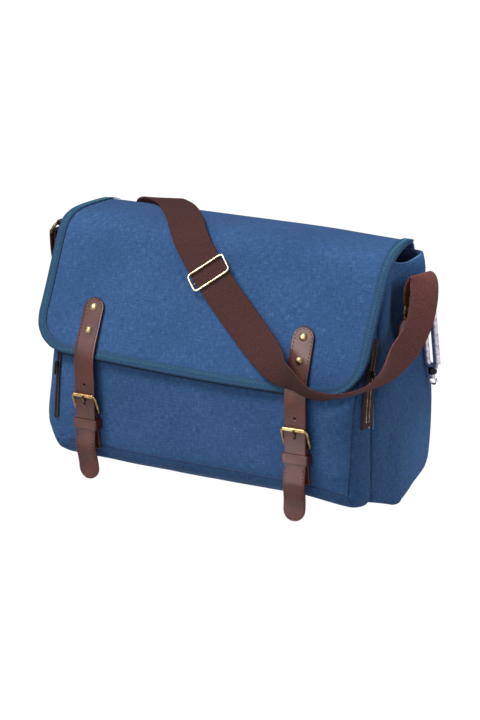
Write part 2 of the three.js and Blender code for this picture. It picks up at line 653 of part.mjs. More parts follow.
function closure(name, { x: x0, swing, tip }) {
  const turn = Math.atan((pocketFace(x0 + 5, POCKET_FACE[3].z) - pocketFace(x0 - 5, POCKET_FACE[3].z)) / 10);
  const place = new THREE.Matrix4().makeRotationZ(turn).setPosition(x0, pocketFace(x0, POCKET_FACE[3].z), 0);
  const group = new THREE.Group();
  group.applyMatrix4(place);
  bag.add(group);
  const local = (point) => point.clone().applyMatrix4(place.clone().invert());
  const onPocket = (z, ahead) => local(vec(x0, pocketFace(x0, z), z)).y - ahead;

  const onFlap = CLOSURE_ON_FLAP.map(({ z, lift, lean }) => {
    const { at, up } = flapFrame(x0, flapRunAt(x0, z));
    const p = local(at.addScaledVector(up, lift));
    return vec(lean, p.y, p.z);
  });
  const below = CLOSURE_BELOW.map(({ z, ahead, lean }) => vec(lean, onPocket(z, ahead), z));
  const tail = [...CLOSURE_TAIL, { ...CLOSURE_TIP, z: tip }].map(({ z, ahead, lean }) => {
    const out = lerp(CLOSURE_TAIL[0].ahead, ahead, swing);
    return vec(lean, onPocket(z, out), z);
  });
  const route = new THREE.CatmullRomCurve3([...onFlap, ...below, ...tail], false, 'centripetal');
  const length = route.getLength();
  const frameAt = (run) => {
    const along = route.getTangentAt(clamp01(run / length));
    const across = vec(1, 0, 0).addScaledVector(along, -along.x).normalize();
    return { at: route.getPointAt(clamp01(run / length)), across, up: along.clone().cross(across) };
  };
  const runAt = (z) => {
    const shares = steps(400);
    return length * shares.find((share) => route.getPointAt(share).z <= z);
  };

  const half = CLOSURE.width / 2;
  const round = [0.06, 0.3, 0.6, 1];
  const ends = (run) => Math.min(
    Math.sqrt(1 - (1 - Math.min(1, run / half)) ** 2),
    Math.sqrt(1 - (1 - Math.min(1, (length - run) / CLOSURE.tip)) ** 2),
  );
  const runs = [
    ...round.map((share) => share * half),
    ...steps(18).slice(1, -1).map((share) => lerp(half, length - CLOSURE.tip, share)),
    ...round.toReversed().map((share) => length - share * CLOSURE.tip),
  ];
  const frames = runs.map((run) => ({ ...frameAt(run), widen: ends(run) }));
  const strap = sweep(frames, flatSection(CLOSURE.width, LEATHER));
  const holes = [...PRONG.holes, CLOSURE_BELOW[1].z].map((z) => {
    const { at } = frameAt(runAt(z));
    return rod(at.clone().add(vec(0, -6, 0)), at.clone().add(vec(0, 6, 0)), CLOSURE.hole / 2);
  });
  add(`closure_strap_${name}`, cut(strap, ...holes), hide(), group);

  FLAP_RIVET.heights.forEach((z, i) => {
    const { at, up } = frameAt(runAt(z));
    const out = up.y < 0 ? up : up.clone().negate();
    at.addScaledVector(out, LEATHER / 2 + FIT);
    placeRivet(`flap_rivet_${name}_${i ? 'lower' : 'upper'}`, at, out, FLAP_RIVET, group);
  });

  const bar = ({ z, ahead }) => vec(0, onPocket(z, ahead), z);
  const [lower, upper] = [bar(BUCKLE.lowerBar), bar(BUCKLE.upperBar)];
  const spacing = upper.distanceTo(lower);
  const frame = add(`buckle_${name}`,
    wireFrame(BUCKLE.inside, spacing - BUCKLE.wire, BUCKLE.corner, BUCKLE.wire), metal(BRASS), group);
  frame.position.copy(lower).lerp(upper, 0.5);
  frame.rotation.x = Math.atan2(upper.z - lower.z, upper.y - lower.y);

  const root = lower.clone().add(vec(0, 0, BUCKLE.wire / 2 + FIT + EYE_LEATHER + 2 * FIT + PRONG.thick / 2));
  const bend = frameAt(runAt(PRONG.holes[1])).at.setX(0);
  const prong = new THREE.CatmullRomCurve3([root, bend, bar(PRONG.tip)]);
  const prongFrames = steps(6).map((share) => {
    const along = prong.getTangentAt(share);
    return { at: prong.getPointAt(share), across: vec(1, 0, 0), up: along.cross(vec(1, 0, 0)) };
  });
  add(`buckle_prong_${name}`, sweep(prongFrames, flatSection(PRONG.width, PRONG.thick)), metal(BRASS), group);

  const tabLine = BUCKLE_TAB_ROWS.map(({ z, ahead }) => new THREE.Vector2(onPocket(z, ahead), z));
  const eye = new THREE.Vector2(lower.y, lower.z);
  const tab = foldedTab(tabLine, eye, BUCKLE.wire / 2, LEATHER, CLOSURE.width);
  const alongX = new THREE.Matrix4().makeBasis(vec(0, 1, 0), vec(0, 0, 1), vec(1, 0, 0));
  add(`buckle_tab_${name}`, tab.applyMatrix4(alongX), hide(), group);

  const strapY = frameAt(runAt(KEEPER.z + KEEPER.height / 2)).at.y;
  const front = strapY - LEATHER / 2 - 2 * FIT;
  const rear = onPocket(KEEPER.z, FIT + KEEPER.leather);
  const [width, depth, wall] = [CLOSURE.width + 2 * KEEPER.play, rear - front, KEEPER.leather];
  const outline = roundedRectangle(width + 2 * wall, depth + 2 * wall, wall);
  outline.holes.push(roundedRectangle(width, depth, wall / 2, THREE.Path));
  const loop = plate(outline, KEEPER.height, 2).translate(KEEPER.shift, (front + rear) / 2, KEEPER.z);
  add(`keeper_${name}`, loop, hide(), group);
}

closure('left', CLOSURES.left);
closure('right', CLOSURES.right);

// Rings on the gussets, each held by a leather tab

const tabBar = ({ bar, y }) => vec(bar.x, y, bar.z);
const webbingBar = ({ bar, y, lean }) => vec(bar.x + lean.x * RING.spacing, y, bar.z + lean.z * RING.spacing);

// How far a gusset reaches out under a tab's width
function gussetReach({ side, y }, z) {
  const edges = steps(4).map((share) => Math.abs(bodySide(side, y + (share - 0.5) * TAB_WIDTH, z)));
  return side * Math.max(...edges);
}

function sideRing(name, anchor) {
  const { side, y, bar, lean, rows, rivet } = anchor;
  const frame = wireFrame(RING.inside, RING.spacing - RING.wire, RING.corner, RING.wire);
  const ring = add(`side_ring_${name}`, frame, metal(BRASS));
  ring.position.copy(tabBar(anchor)).lerp(webbingBar(anchor), 0.5);
  ring.quaternion.setFromRotationMatrix(new THREE.Matrix4().makeBasis(
    vec(0, 1, 0), vec(lean.x, 0, lean.z), vec(lean.z, 0, -lean.x),
  ));
  const line = rows.map(({ z, off }) => new THREE.Vector2(gussetReach(anchor, z) + side * off, z));
  const eye = new THREE.Vector2(bar.x, bar.z);
  const tab = foldedTab(line, eye, RING.wire / 2, LEATHER, TAB_WIDTH);
  tab.applyMatrix4(new THREE.Matrix4().makeBasis(vec(1, 0, 0), vec(0, 0, 1), vec(0, -1, 0)));
  add(`side_tab_${name}`, tab.translate(0, y, 0), hide());

  const curve = new THREE.SplineCurve([...line, eye]);
  const share = rivet.row / line.length;
  const [at, along] = [curve.getPoint(share), curve.getTangent(share)];
  const out = vec(along.y, 0, -along.x).multiplyScalar(side * rivet.face);
  const seat = vec(at.x, y, at.y).addScaledVector(out, LEATHER / 2 + 2 * FIT);
  placeRivet(`side_rivet_${name}`, seat, out, SIDE_RIVET);
}

sideRing('left', ANCHORS.left);
sideRing('right', ANCHORS.right);

// Shoulder strap: webbing from the left ring, round the back, over the top and the flap, to the right ring.
// Each row has a place and the way its outer face looks.

function roundBar(centre, from, to, count) {
  const radius = RING.wire / 2 + 1.5 * FIT + WEBBING.thick / 2;
  return steps(count).map((share) => {
    const turn = THREE.MathUtils.degToRad(lerp(from, to, share));
    const out = vec(Math.cos(turn), 0, Math.sin(turn));
    return { at: centre.clone().addScaledVector(out, radius), face: out };
  });
}

// Stations on the flap: where the strap's middle lies across the bag and along the flap, its lift
// off the flap's middle, and how far its face turns down from the flap's own
function flapStations() {
  const down = vec(0, 0, -1);
  const stations = [
    { x: -99, run: 52, lift: 4, turn: 0 },
    { x: -47, run: 104, lift: WEBBING.lift + 2, turn: 0 },
    { x: SLIDER.x, run: flapRunAt(SLIDER.x, SLIDER.z), lift: SLIDER.lift, turn: 0 },
    { x: 60, run: flapRunAt(60, 175), lift: 5, turn: 0.08 },
    { x: 95, run: flapRunAt(95, 151), lift: 13.2, turn: 0.26 },
    { x: 121, run: flapRunAt(121, 139), lift: 22.5, turn: 0.5 },
  ];
  const between = smoothTable(stations, 'x');
  const places = stations.slice(1).flatMap(({ x }, i) => {
    return [1 / 3, 2 / 3, 1].map((share) => lerp(stations[i].x, x, share));
  });
  return [stations[0].x, ...places].map((x) => {
    const { run, lift, turn } = between(x);
    const { at, up } = flapFrame(x, run);
    return { at: at.addScaledVector(up, lift), face: up.clone().lerp(down, turn).normalize(), x };
  });
}

function row(x, y, z, faceX, faceY, faceZ) {
  return { at: vec(x, y, z), face: vec(faceX, faceY, faceZ).normalize() };
}

const leftBar = webbingBar(ANCHORS.left);
const rightBar = webbingBar(ANCHORS.right);
const onFlap = flapStations();
const sliderRow = onFlap.find(({ x }) => x === SLIDER.x);

const webbingRows = [
  row(leftBar.x + 3.2, leftBar.y, leftBar.z - 20, 1, 0, 0),
  ...roundBar(leftBar, 0, 180, 5),
  row(leftBar.x - 3.2, leftBar.y + 2, leftBar.z - 22, -1, 0, 0),
  row(-217, -2, 188, -1, 0, -0.2),
  row(-216, 20, 158, -0.75, 0.2, -0.6),
  row(-206, 54, 146, -0.3, 0.3, -0.9),
  row(-190, 80, 156, -0.1, 0.8, -0.6),
  row(-178, 88, 190, 0, 1, -0.1),
  row(-172, 84, 226, -0.1, 0.95, 0.25),
  row(-156, 70, 254, -0.2, 0.65, 0.75),
  row(-130, 52, 267, -0.12, 0.2, 0.97),
  ...onFlap,
  row(145, -107, 137, 0.05, -0.62, -0.78),
  row(168, -104, 136, 0.12, -0.32, -0.94),
  row(186, -92, 139, 0.25, -0.3, -0.92),
  row(195, -74, 146, 0.45, -0.4, -0.8),
  row(199, -56, 154, 0.72, -0.45, -0.5),
  row(201, -38, 163, 0.86, -0.46, -0.22),
  row(203, -18, 174, 0.92, -0.38, -0.1),
  row(204, -1, 191, 0.95, -0.3, 0),
  row(204, 7, 213, 0.95, -0.3, 0.1),
  row(201, 10.5, 231, 0.6, -0.15, 0.75),
  row(197.2, 11, 235, -0.2, 0.05, 0.95),
  row(193.2, 11, 230, -1, 0, 0.25),
  row(rightBar.x - 3.4, rightBar.y, rightBar.z + 12, -1, 0, 0),
  ...roundBar(rightBar, 180, 360, 5),
  row(rightBar.x + 3.2, rightBar.y, rightBar.z + 9, 1, 0, 0),
];

function ribbon(rows, samples, width, thick) {
  const path = new THREE.CatmullRomCurve3(rows.map(({ at }) => at), false, 'centripetal');
  const faces = new THREE.CatmullRomCurve3(rows.map(({ face }) => face), false, 'centripetal');
  const frames = steps(samples).map((share) => {
    const along = path.getTangent(share);
    const across = along.clone().cross(faces.getPoint(share)).normalize();
    return { at: path.getPoint(share), across, up: across.clone().cross(along).normalize() };
  });
  return sweep(frames, flatSection(width, thick));
}

const webbing = ribbon(webbingRows, 2 * (webbingRows.length - 1), WEBBING.width, WEBBING.thick);
add('shoulder_strap', webbing, canvas(WEB_BROWN));

// Slider: a wire frame over the webbing with its middle bar under it

function strapSlider() {
  const frame = wireFrame(SLIDER.inside, SLIDER.depth - 2 * SLIDER.wire, SLIDER.corner, SLIDER.wire);
  const above = WEBBING.thick / 2 + FIT + SLIDER.wire / 2;
  const under = -WEBBING.thick / 2 - FIT - SLIDER.bar / 2;
  const end = SLIDER.inside / 2 + SLIDER.wire / 2;
  const bar = rod(vec(-end, 0, under), vec(end, 0, under), SLIDER.bar / 2, 8);
  const foot = under - SLIDER.bar / 4;
  const posts = [-end, end].map((x) => rod(vec(x, 0, foot), vec(x, 0, above), SLIDER.bar / 2, 8));
  return join(frame.translate(0, 0, above), bar, ...posts);
}

const slider = add('strap_slider', strapSlider(), metal(BRASS));
const sliderIndex = webbingRows.indexOf(sliderRow);
const sliderAlong = webbingRows[sliderIndex + 1].at.clone().sub(webbingRows[sliderIndex - 1].at).normalize();
const sliderAcross = sliderAlong.clone().cross(sliderRow.face).normalize();
slider.position.copy(sliderRow.at);
slider.quaternion.setFromRotationMatrix(new THREE.Matrix4().makeBasis(
  sliderAcross, sliderAlong, sliderAcross.clone().cross(sliderAlong),
));
slider.rotateZ(SLIDER.turn);

// Snap hook: a long closed loop round the right-hand ring's end, with a swivel and an eye below

function snapHook() {
  const { length, width, bar, thick, edge } = SNAP_HOOK;
  const shape = roundedRectangle(width - 2 * edge, length - 2 * edge, width / 2 - 1.1 * edge);
  const [holeWidth, holeLength] = [width - 2 * (bar - edge), length - 2 * (bar - edge)];
  shape.holes.push(roundedRectangle(holeWidth, holeLength, 0.4 * holeWidth, THREE.Path));
  const loop = new THREE.ExtrudeGeometry(shape, {
    depth: thick - 2 * edge, bevelThickness: edge, bevelSize: edge, bevelSegments: 1, curveSegments: 3,
  });
  const foot = -length / 2;
  const swivel = rod(vec(0, foot + bar / 2, 0), vec(0, foot - HOOK_SWIVEL.length, 0), HOOK_SWIVEL.radius);
  const eyeShape = new THREE.Shape().absarc(0, 0, HOOK_EYE.radius, 0, 2 * Math.PI);
  eyeShape.holes.push(new THREE.Path().absarc(0, 0, HOOK_EYE.bore, 0, 2 * Math.PI));
  const eye = plate(eyeShape, HOOK_EYE.thick, 5);
  eye.translate(0, foot - HOOK_SWIVEL.length - HOOK_EYE.bore - 1, -HOOK_EYE.thick / 2);
  return join(loop.translate(0, 0, edge - thick / 2), swivel, eye);
}

const hook = add('snap_hook', snapHook(), metal(NICKEL));
const hookUp = vec(0, -Math.sin(SNAP_HOOK.lean), Math.cos(SNAP_HOOK.lean));
const hookCrown = tabBar(ANCHORS.right).lerp(rightBar, 0.5);
hookCrown.y += RING.inside / 2 - FIT - SNAP_HOOK.bar / 2;
hook.quaternion.setFromRotationMatrix(new THREE.Matrix4().makeBasis(
  vec(1, 0, 0), hookUp, vec(1, 0, 0).cross(hookUp),
));
hook.position.copy(hookCrown).addScaledVector(hookUp, (SNAP_HOOK.bar - SNAP_HOOK.length) / 2);

export default bag;
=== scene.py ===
import math
from itertools import permutations

import bmesh
import bpy
import numpy as np
from mathutils import Matrix, Vector, noise
from mathutils.bvhtree import BVHTree


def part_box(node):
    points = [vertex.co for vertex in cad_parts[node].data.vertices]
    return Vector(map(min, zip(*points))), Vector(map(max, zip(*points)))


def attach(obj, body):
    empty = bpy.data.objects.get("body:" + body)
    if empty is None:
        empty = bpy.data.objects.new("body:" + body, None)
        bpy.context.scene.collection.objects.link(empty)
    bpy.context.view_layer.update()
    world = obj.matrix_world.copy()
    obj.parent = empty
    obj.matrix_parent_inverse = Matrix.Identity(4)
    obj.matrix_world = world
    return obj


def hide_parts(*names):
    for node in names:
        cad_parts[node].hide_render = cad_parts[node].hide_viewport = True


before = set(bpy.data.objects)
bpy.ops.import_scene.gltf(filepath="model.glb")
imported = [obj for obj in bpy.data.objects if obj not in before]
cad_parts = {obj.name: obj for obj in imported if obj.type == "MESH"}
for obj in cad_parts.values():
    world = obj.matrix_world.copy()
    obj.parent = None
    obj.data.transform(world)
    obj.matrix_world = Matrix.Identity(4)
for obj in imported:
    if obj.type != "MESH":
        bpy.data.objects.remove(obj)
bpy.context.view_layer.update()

MM = 0.001
scene = bpy.context.scene

# Camera: the photograph's angle, a long lens on a 2:3 upright frame

CAMERA = {"azimuth": 33.0, "elevation": 15.0, "distance": 2436 * MM, "lens": 123.0, "sensor": 36.0}
CAMERA_TARGET = Vector((20, -33, 134)) * MM


def view_from(azimuth, elevation):
    """The way towards a viewer, who goes round from the front and up by degrees."""
    a, e = math.radians(azimuth), math.radians(elevation)
    return Vector((math.sin(a) * math.cos(e), -math.cos(a) * math.cos(e), math.sin(e)))


def aim(obj, place, target):
    """Puts a camera or a light in the scene, facing a target."""
    obj.location = place
    obj.rotation_euler = (target - place).to_track_quat("-Z", "Y").to_euler()
    scene.collection.objects.link(obj)


camera_data = bpy.data.cameras.new("camera")
camera_data.lens = CAMERA["lens"]
camera_data.sensor_width = CAMERA["sensor"]
camera_data.clip_end = 50
camera = bpy.data.objects.new("camera", camera_data)
towards_camera = view_from(CAMERA["azimuth"], CAMERA["elevation"])
aim(camera, CAMERA_TARGET + towards_camera * CAMERA["distance"], CAMERA_TARGET)
scene.camera = camera

# Colours and shader nodes


def linear(code):
    """An sRGB hex colour as linear RGBA."""
    parts = [int(code[i:i + 2], 16) / 255 for i in (1, 3, 5)]
    return [c / 12.92 if c <= 0.04045 else ((c + 0.055) / 1.055) ** 2.4 for c in parts] + [1.0]


def shade(tree, kind, settings=None, **links):
    """Adds a node. Settings are its properties, plain socket values, and a ramp's stops as pairs of place and
    hex colour. Links feed its sockets, by name or by an underscore and a number."""
    made = tree.nodes.new(kind)
    for key, value in (settings or {}).items():
        if key == "stops":
            elements = made.color_ramp.elements
            while len(elements) < len(value):
                elements.new(0.5)
            for element, (place, code) in zip(elements, value):
                element.position = place
                element.color = linear(code)
        elif isinstance(key, str) and hasattr(made, key):
            setattr(made, key, value)
        else:
            made.inputs[key].default_value = value
    for key, source in links.items():
        numbered = key[0] == "_" and key[1:].isdigit()
        socket = made.inputs[int(key[1:]) if numbered else key.replace("_", " ")]
        tree.links.new(source, socket)
    return made


def new_material(name, settings):
    """A material with one principled shader, whose even values are set on its own sockets."""
    material = bpy.data.materials.new(name)
    material.use_nodes = True
    tree = material.node_tree
    shader = tree.nodes["Principled BSDF"]
    for key, value in settings.items():
        shader.inputs[key].default_value = value
    return material, tree, shader


def mottled(name, settings, size, stops, detail=2.0):
    """A material whose colour varies in patches of a size, with the place and the patches that it reads."""
    material, tree, shader = new_material(name, settings)
    place = shade(tree, "ShaderNodeTexCoord").outputs["Object"]
    noisy = shade(tree, "ShaderNodeTexNoise", {"Scale": 1 / size, "Detail": detail}, Vector=place)
    patches = noisy.outputs["Fac"]
    tone = shade(tree, "ShaderNodeValToRGB", {"stops": stops}, Fac=patches)
    tree.links.new(tone.outputs["Color"], shader.inputs["Base Color"])
    return material, tree, shader, place, patches


PATCH_STOPS = ((0.3, "#e4e6ea"), (0.7, "#ffffff"))


def canvas(name, stops):
    """Washed plain-weave cotton canvas: slubby yarns make short light and dark flecks along both threads, and
    washing leaves soft patches 70 mm across. Its yarns are 0.7 mm apart, too fine to show here, so flecks are
    drawn 1.7 mm wide and 6 to 7 mm long. The map that they follow lies on the cloth, in metres."""
    material, tree, shader = new_material(name, {
        "Roughness": 0.92, "Specular IOR Level": 0.12, "Sheen Weight": 0.06, "Sheen Roughness": 0.6,
        "Sheen Tint": linear("#9fb8e0"),
    })
    threads = shade(tree, "ShaderNodeUVMap", {"uv_map": "Threads"}).outputs["UV"]
    flecks = []
    for across, along, seed in ((6.0, 1.7, 0.0), (1.7, 7.0, 3.0)):
        laid = shade(tree, "ShaderNodeMapping", {
            "Scale": (1 / (across * MM), 1 / (along * MM), 1), "Location": (seed, seed, seed),
        }, Vector=threads).outputs["Vector"]
        flecks.append(shade(tree, "ShaderNodeTexNoise", {
            "Scale": 1.0, "Detail": 2.0, "Roughness": 0.6,
        }, Vector=laid).outputs["Fac"])
    weave = shade(tree, "ShaderNodeMath", {"operation": "ADD"}, _0=flecks[0], _1=flecks[1]).outputs["Value"]
    fleck = shade(tree, "ShaderNodeMath", {"operation": "MULTIPLY", 1: 0.5}, _0=weave).outputs["Value"]
    tone = shade(tree, "ShaderNodeValToRGB", {"stops": stops}, Fac=fleck).outputs["Color"]
    wash = shade(tree, "ShaderNodeTexNoise", {
        "Scale": 1 / (70 * MM), "Detail": 3.0,
    }, Vector=threads).outputs["Fac"]
    patch = shade(tree, "ShaderNodeValToRGB", {"stops": PATCH_STOPS}, Fac=wash).outputs["Color"]
    mixed = shade(tree, "ShaderNodeMix", {
        "data_type": "RGBA", "blend_type": "MULTIPLY", 0: 1.0,
    }, _6=tone, _7=patch)
    tree.links.new(mixed.outputs[2], shader.inputs["Base Color"])
    relief = shade(tree, "ShaderNodeBump", {"Strength": 0.55, "Distance": 0.9 * MM}, Height=fleck)
    tree.links.new(relief.outputs["Normal"], shader.inputs["Normal"])
    return material


def leather():
    """Smooth corrected-grain cowhide, dyed brown and waxed: a soft broad shine, a fine pebble of about 1 mm
    and slightly uneven dye, in clouds of 14 mm."""
    stops = ((0.3, "#34120c"), (0.5, "#431912"), (0.72, "#502117"))
    material, tree, shader, place, _ = mottled("Waxed_leather_brown", {
        "Roughness": 0.4, "Specular IOR Level": 0.38, "IOR": 1.5,
    }, 14 * MM, stops, detail=4.0)
    pebble = shade(tree, "ShaderNodeTexVoronoi", {
        "Scale": 1 / (1.1 * MM), "feature": "SMOOTH_F1",
    }, Vector=place).outputs["Distance"]
    relief = shade(tree, "ShaderNodeBump", {"Strength": 0.25, "Distance": 0.25 * MM}, Height=pebble)
    tree.links.new(relief.outputs["Normal"], shader.inputs["Normal"])
    return material


RIB = 1.6 * MM
# Painted light on the strap's right limb: where the painted paleness starts and is full, from the strap's
# right end, and how many times paler it makes the dye
PAINTED_LIGHT = {"starts": 250 * MM, "full": 170 * MM, "times": 2.1}


def webbing():
    """Dense cotton webbing in a ribbed weave: ribs across the strap, drawn a little coarser than they are so
    that they show, with matt, faintly uneven dye. Towards the right ring, where the strap hangs free, its
    colour is painted paler: painted light on that limb."""
    material, tree, shader = new_material("Cotton_webbing_brown", {
        "Roughness": 0.85, "Specular IOR Level": 0.12, "Sheen Weight": 0.04,
        "Sheen Tint": linear("#b08a80"),
    })
    along = shade(tree, "ShaderNodeUVMap", {"uv_map": "Threads"}).outputs["UV"]
    # The bands of a wave lie tau / 20 apart at a scale of 1
    ribs = shade(tree, "ShaderNodeTexWave", {
        "bands_direction": "Y", "Scale": math.tau / 20 / RIB, "Distortion": 1.2, "Detail": 1.0,
    }, Vector=along).outputs["Fac"]
    yarn = shade(tree, "ShaderNodeMapping", {
        "Scale": (1 / (1.4 * MM), 1 / (3.2 * MM), 1),
    }, Vector=along).outputs["Vector"]
    fuzz = shade(tree, "ShaderNodeTexNoise", {"Scale": 1.0, "Detail": 2.0}, Vector=yarn).outputs["Fac"]
    tone = shade(tree, "ShaderNodeValToRGB", {
        "stops": ((0.3, "#321b19"), (0.5, "#3a2120"), (0.72, "#422824")),
    }, Fac=fuzz).outputs["Color"]
    run = shade(tree, "ShaderNodeSeparateXYZ", Vector=along).outputs["Y"]
    # Painted light: the colour is scaled paler along the run towards the right ring
    painted_light = shade(tree, "ShaderNodeMapRange", {
        "interpolation_type": "SMOOTHSTEP", "From Min": PAINTED_LIGHT["starts"], "From Max": PAINTED_LIGHT["full"],
        "To Min": 1.0, "To Max": PAINTED_LIGHT["times"],
    }, Value=run).outputs["Result"]
    paler = shade(tree, "ShaderNodeVectorMath", {"operation": "SCALE"}, Vector=tone, Scale=painted_light)
    tree.links.new(paler.outputs["Vector"], shader.inputs["Base Color"])
    height = shade(tree, "ShaderNodeMath", {"operation": "ADD"}, _0=ribs, _1=fuzz).outputs["Value"]
    relief = shade(tree, "ShaderNodeBump", {"Strength": 0.4, "Distance": 0.4 * MM}, Height=height)
    tree.links.new(relief.outputs["Normal"], shader.inputs["Normal"])
    return material


def tape(name, code, dark):
    """Woven cotton tape: matt, with a fine cross rib of 1 mm drawn at 1.4 mm."""
    material, tree, shader, _, rib = mottled(name, {
        "Roughness": 0.9, "Specular IOR Level": 0.25,
    }, 1.4 * MM, ((0.3, dark), (0.65, code)))
    relief = shade(tree, "ShaderNodeBump", {"Strength": 0.4, "Distance": 0.4 * MM}, Height=rib)
    tree.links.new(relief.outputs["Normal"], shader.inputs["Normal"])
    return material


def metal(name, code, dark, roughness):
    """Plated zinc casting, tumbled smooth: bright where it is handled, and duller in patches of 4 mm."""
    material, tree, shader, _, wear = mottled(name, {
        "Metallic": 1.0, "Roughness": roughness,
    }, 4 * MM, ((0.35, dark), (0.6, code)), detail=3.0)
    dull = shade(tree, "ShaderNodeMapRange", {
        "To Min": roughness - 0.08, "To Max": roughness + 0.12,
    }, Value=wear)
    tree.links.new(dull.outputs["Result"], shader.inputs["Roughness"])
    return material


def thread(name, code, dark):
    """Waxed sewing thread: small and a little shiny. Its colour is mottled light and dark in patches of 0.8
    mm, which is painted shading of its twist.
    """
    return mottled(name, {
        "Roughness": 0.6, "Specular IOR Level": 0.15,
    }, 0.8 * MM, ((0.35, dark), (0.65, code)))[0]


CANVAS_STOPS = ((0.3, "#1e395e"), (0.46, "#29476e"), (0.56, "#2e4d75"), (0.72, "#43658b"))
LINING_STOPS = ((0.3, "#1b2a49"), (0.5, "#263a60"), (0.7, "#364c78"))
BLUE_CANVAS = canvas("Washed_canvas_blue", CANVAS_STOPS)
LINING = canvas("Lining_cloth_navy", LINING_STOPS)
LEATHER = leather()
WEBBING = webbing()
BINDING = tape("Binding_tape_teal", "#1d3d5c", "#17334f")
ZIP_TAPE = tape("Zip_tape_brown", "#38262a", "#201519")
# Near-black navy for the tube below the flap's hem, which is a painted shadow line
HEM_SHADOW_LINE = tape("Hem_painted_shadow_navy", "#101a2e", "#0a1120")
DARK_TAPE = tape("Zip_tape_dark", "#352c2e", "#231d1f")
PIPING = tape("Piping_blue", "#52719a", "#3c5a80")
BRASS = metal("Antique_brass", "#ad9064", "#775c3a", 0.34)
RIVET_BRASS = metal("Tumbled_brass", "#b8a17c", "#7d6748", 0.42)
DARK_BRASS = metal("Dark_brass", "#6f5b3c", "#443622", 0.4)
PALE_BRASS = metal("Pale_brass", "#dccba6", "#a8946c", 0.28)
ZIP_TEETH = metal("Dull_brass", "#a9917a", "#6e5b4b", 0.42)
DARK_STEEL = metal("Blackened_steel", "#2b2a2e", "#17161a", 0.35)
NICKEL = metal("Polished_nickel", "#ddd5e2", "#a39cab", 0.3)
TEAL_THREAD = thread("Thread_teal", "#376b82", "#295367")
RED_THREAD = thread("Thread_dark_red", "#4a141a", "#2c0c10")
NAVY_THREAD = thread("Thread_navy", "#1d3157", "#14223f")

# Meshes

TO_RIGHT, INTO_BAG = Vector((1, 0, 0)), Vector((0, 1, 0))
UP, DOWN = Vector((0, 0, 1)), Vector((0, 0, -1))
HARD_FOLD, SOFT_FOLD = math.radians(80), math.radians(45)
CUT_EDGE, CAST_EDGE, LEVEL = math.radians(60), math.radians(40), math.radians(1)
WORST_SKEW = 2.4
SAME_SPOT = 1e-6
# Rays onto the bag start this far out
FAR_OUT = 400 * MM


def shade_smooth(bm):
    """Shades every face of a bmesh smoothly."""
    for face in bm.faces:
        face.smooth = True


def closed(bm):
    """Joins up a bmesh's seams, turns its faces outwards and shades them smoothly."""
    bmesh.ops.remove_doubles(bm, verts=bm.verts, dist=SAME_SPOT)
    bmesh.ops.recalc_face_normals(bm, faces=bm.faces)
    shade_smooth(bm)


def merged(node):
    """A copy of a CAD node's mesh with its triangles joined up."""
    bm = bmesh.new()
    bm.from_mesh(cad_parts[node].data)
    bmesh.ops.remove_doubles(bm, verts=bm.verts, dist=SAME_SPOT)
    shade_smooth(bm)
    return bm


def join_quads(bm):
    """Joins triangles in pairs into quads, the squarest pairs first."""
    pairs = []
    for edge in bm.edges:
        if len(edge.link_faces) == 2 and edge.calc_face_angle(0) < SOFT_FOLD:
            a, b = edge.verts
            c, d = [next(v for v in face.verts if v not in (a, b)) for face in edge.link_faces]
            corners = [v.co for v in (a, c, b, d)]
            ways = [(corners[i] - corners[i - 1]).normalized() for i in range(4)]
            pairs.append((sum(abs(ways[i].dot(ways[i - 1])) for i in range(4)), edge))
    joined, used = [], set()
    for skew, edge in sorted(pairs, key=lambda pair: pair[0]):
        if skew < WORST_SKEW and not used.intersection(edge.link_faces):
            joined.append(edge)
            used.update(edge.link_faces)
    bmesh.ops.dissolve_edges(bm, edges=joined, use_verts=False, use_face_split=False)


def finished(bm, *modifiers):
    """A bmesh as a mesh, with modifiers applied: pairs of kind and settings."""
    work = bpy.data.objects.new("work", bpy.data.meshes.new("work"))
    bm.to_mesh(work.data)
    bm.free()
    scene.collection.objects.link(work)
    for kind, settings in modifiers:
        modifier = work.modifiers.new(kind, kind)
        for key, value in settings.items():
            setattr(modifier, key, value)
    depsgraph = bpy.context.evaluated_depsgraph_get()
    mesh = bpy.data.meshes.new_from_object(work.evaluated_get(depsgraph))
    bpy.data.objects.remove(work)
    return mesh


def piece(name, mesh, materials, slot, *nodes):
    """Puts a finished mesh in the scene as a piece that stands for CAD nodes."""
    obj = bpy.data.objects.new(name, mesh)
    mesh.name = name
    mesh.materials.clear()
    for material in materials:
        mesh.materials.append(material)
    scene.collection.objects.link(obj)
    if nodes:
        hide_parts(*nodes)
    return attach(obj, "root")


def places(mesh):
    """A mesh's points as rows of numbers."""
    flat = np.empty(len(mesh.vertices) * 3, np.float32)
    mesh.vertices.foreach_get("co", flat)
    return flat.reshape(-1, 3).astype(float)


def place_all(mesh, points):
    """Moves a mesh's points to new places."""
    mesh.vertices.foreach_set("co", points.astype(np.float32).ravel())
    mesh.update()


def surface(mesh):
    """A mesh as a tree to cast rays on."""
    points = [v.co.copy() for v in mesh.vertices]
    return BVHTree.FromPolygons(points, [list(p.vertices) for p in mesh.polygons])


def trace(tree, rays):
    """Where rays, pairs of origin and way, meet a surface: pairs of place and normal."""
    hits = [tree.ray_cast(origin, way) for origin, way in rays]
    return [(hit[0], hit[1]) for hit in hits if hit[0] is not None]


def evenly(path, step):
    """A traced path at even steps: place, normal and the way along."""
    spots = [p for p, _ in path]
    lengths = [0.0]
    for a, b in zip(spots, spots[1:]):
        lengths.append(lengths[-1] + (b - a).length)
    made = []
    at = 0
    for i in range(int(lengths[-1] / step)):
        run = i * step
        while lengths[at + 1] < run:
            at += 1
        share = (run - lengths[at]) / max(lengths[at + 1] - lengths[at], 1e-9)
        along = (spots[at + 1] - spots[at]).normalized()
        normal = path[at][1].lerp(path[at + 1][1], share).normalized()
        made.append((spots[at].lerp(spots[at + 1], share), normal, along))
    return made


def eased(share):
    """A share from 0 to 1 that starts and ends gently."""
    share = min(1, max(0, share))
    return share * share * (3 - 2 * share)


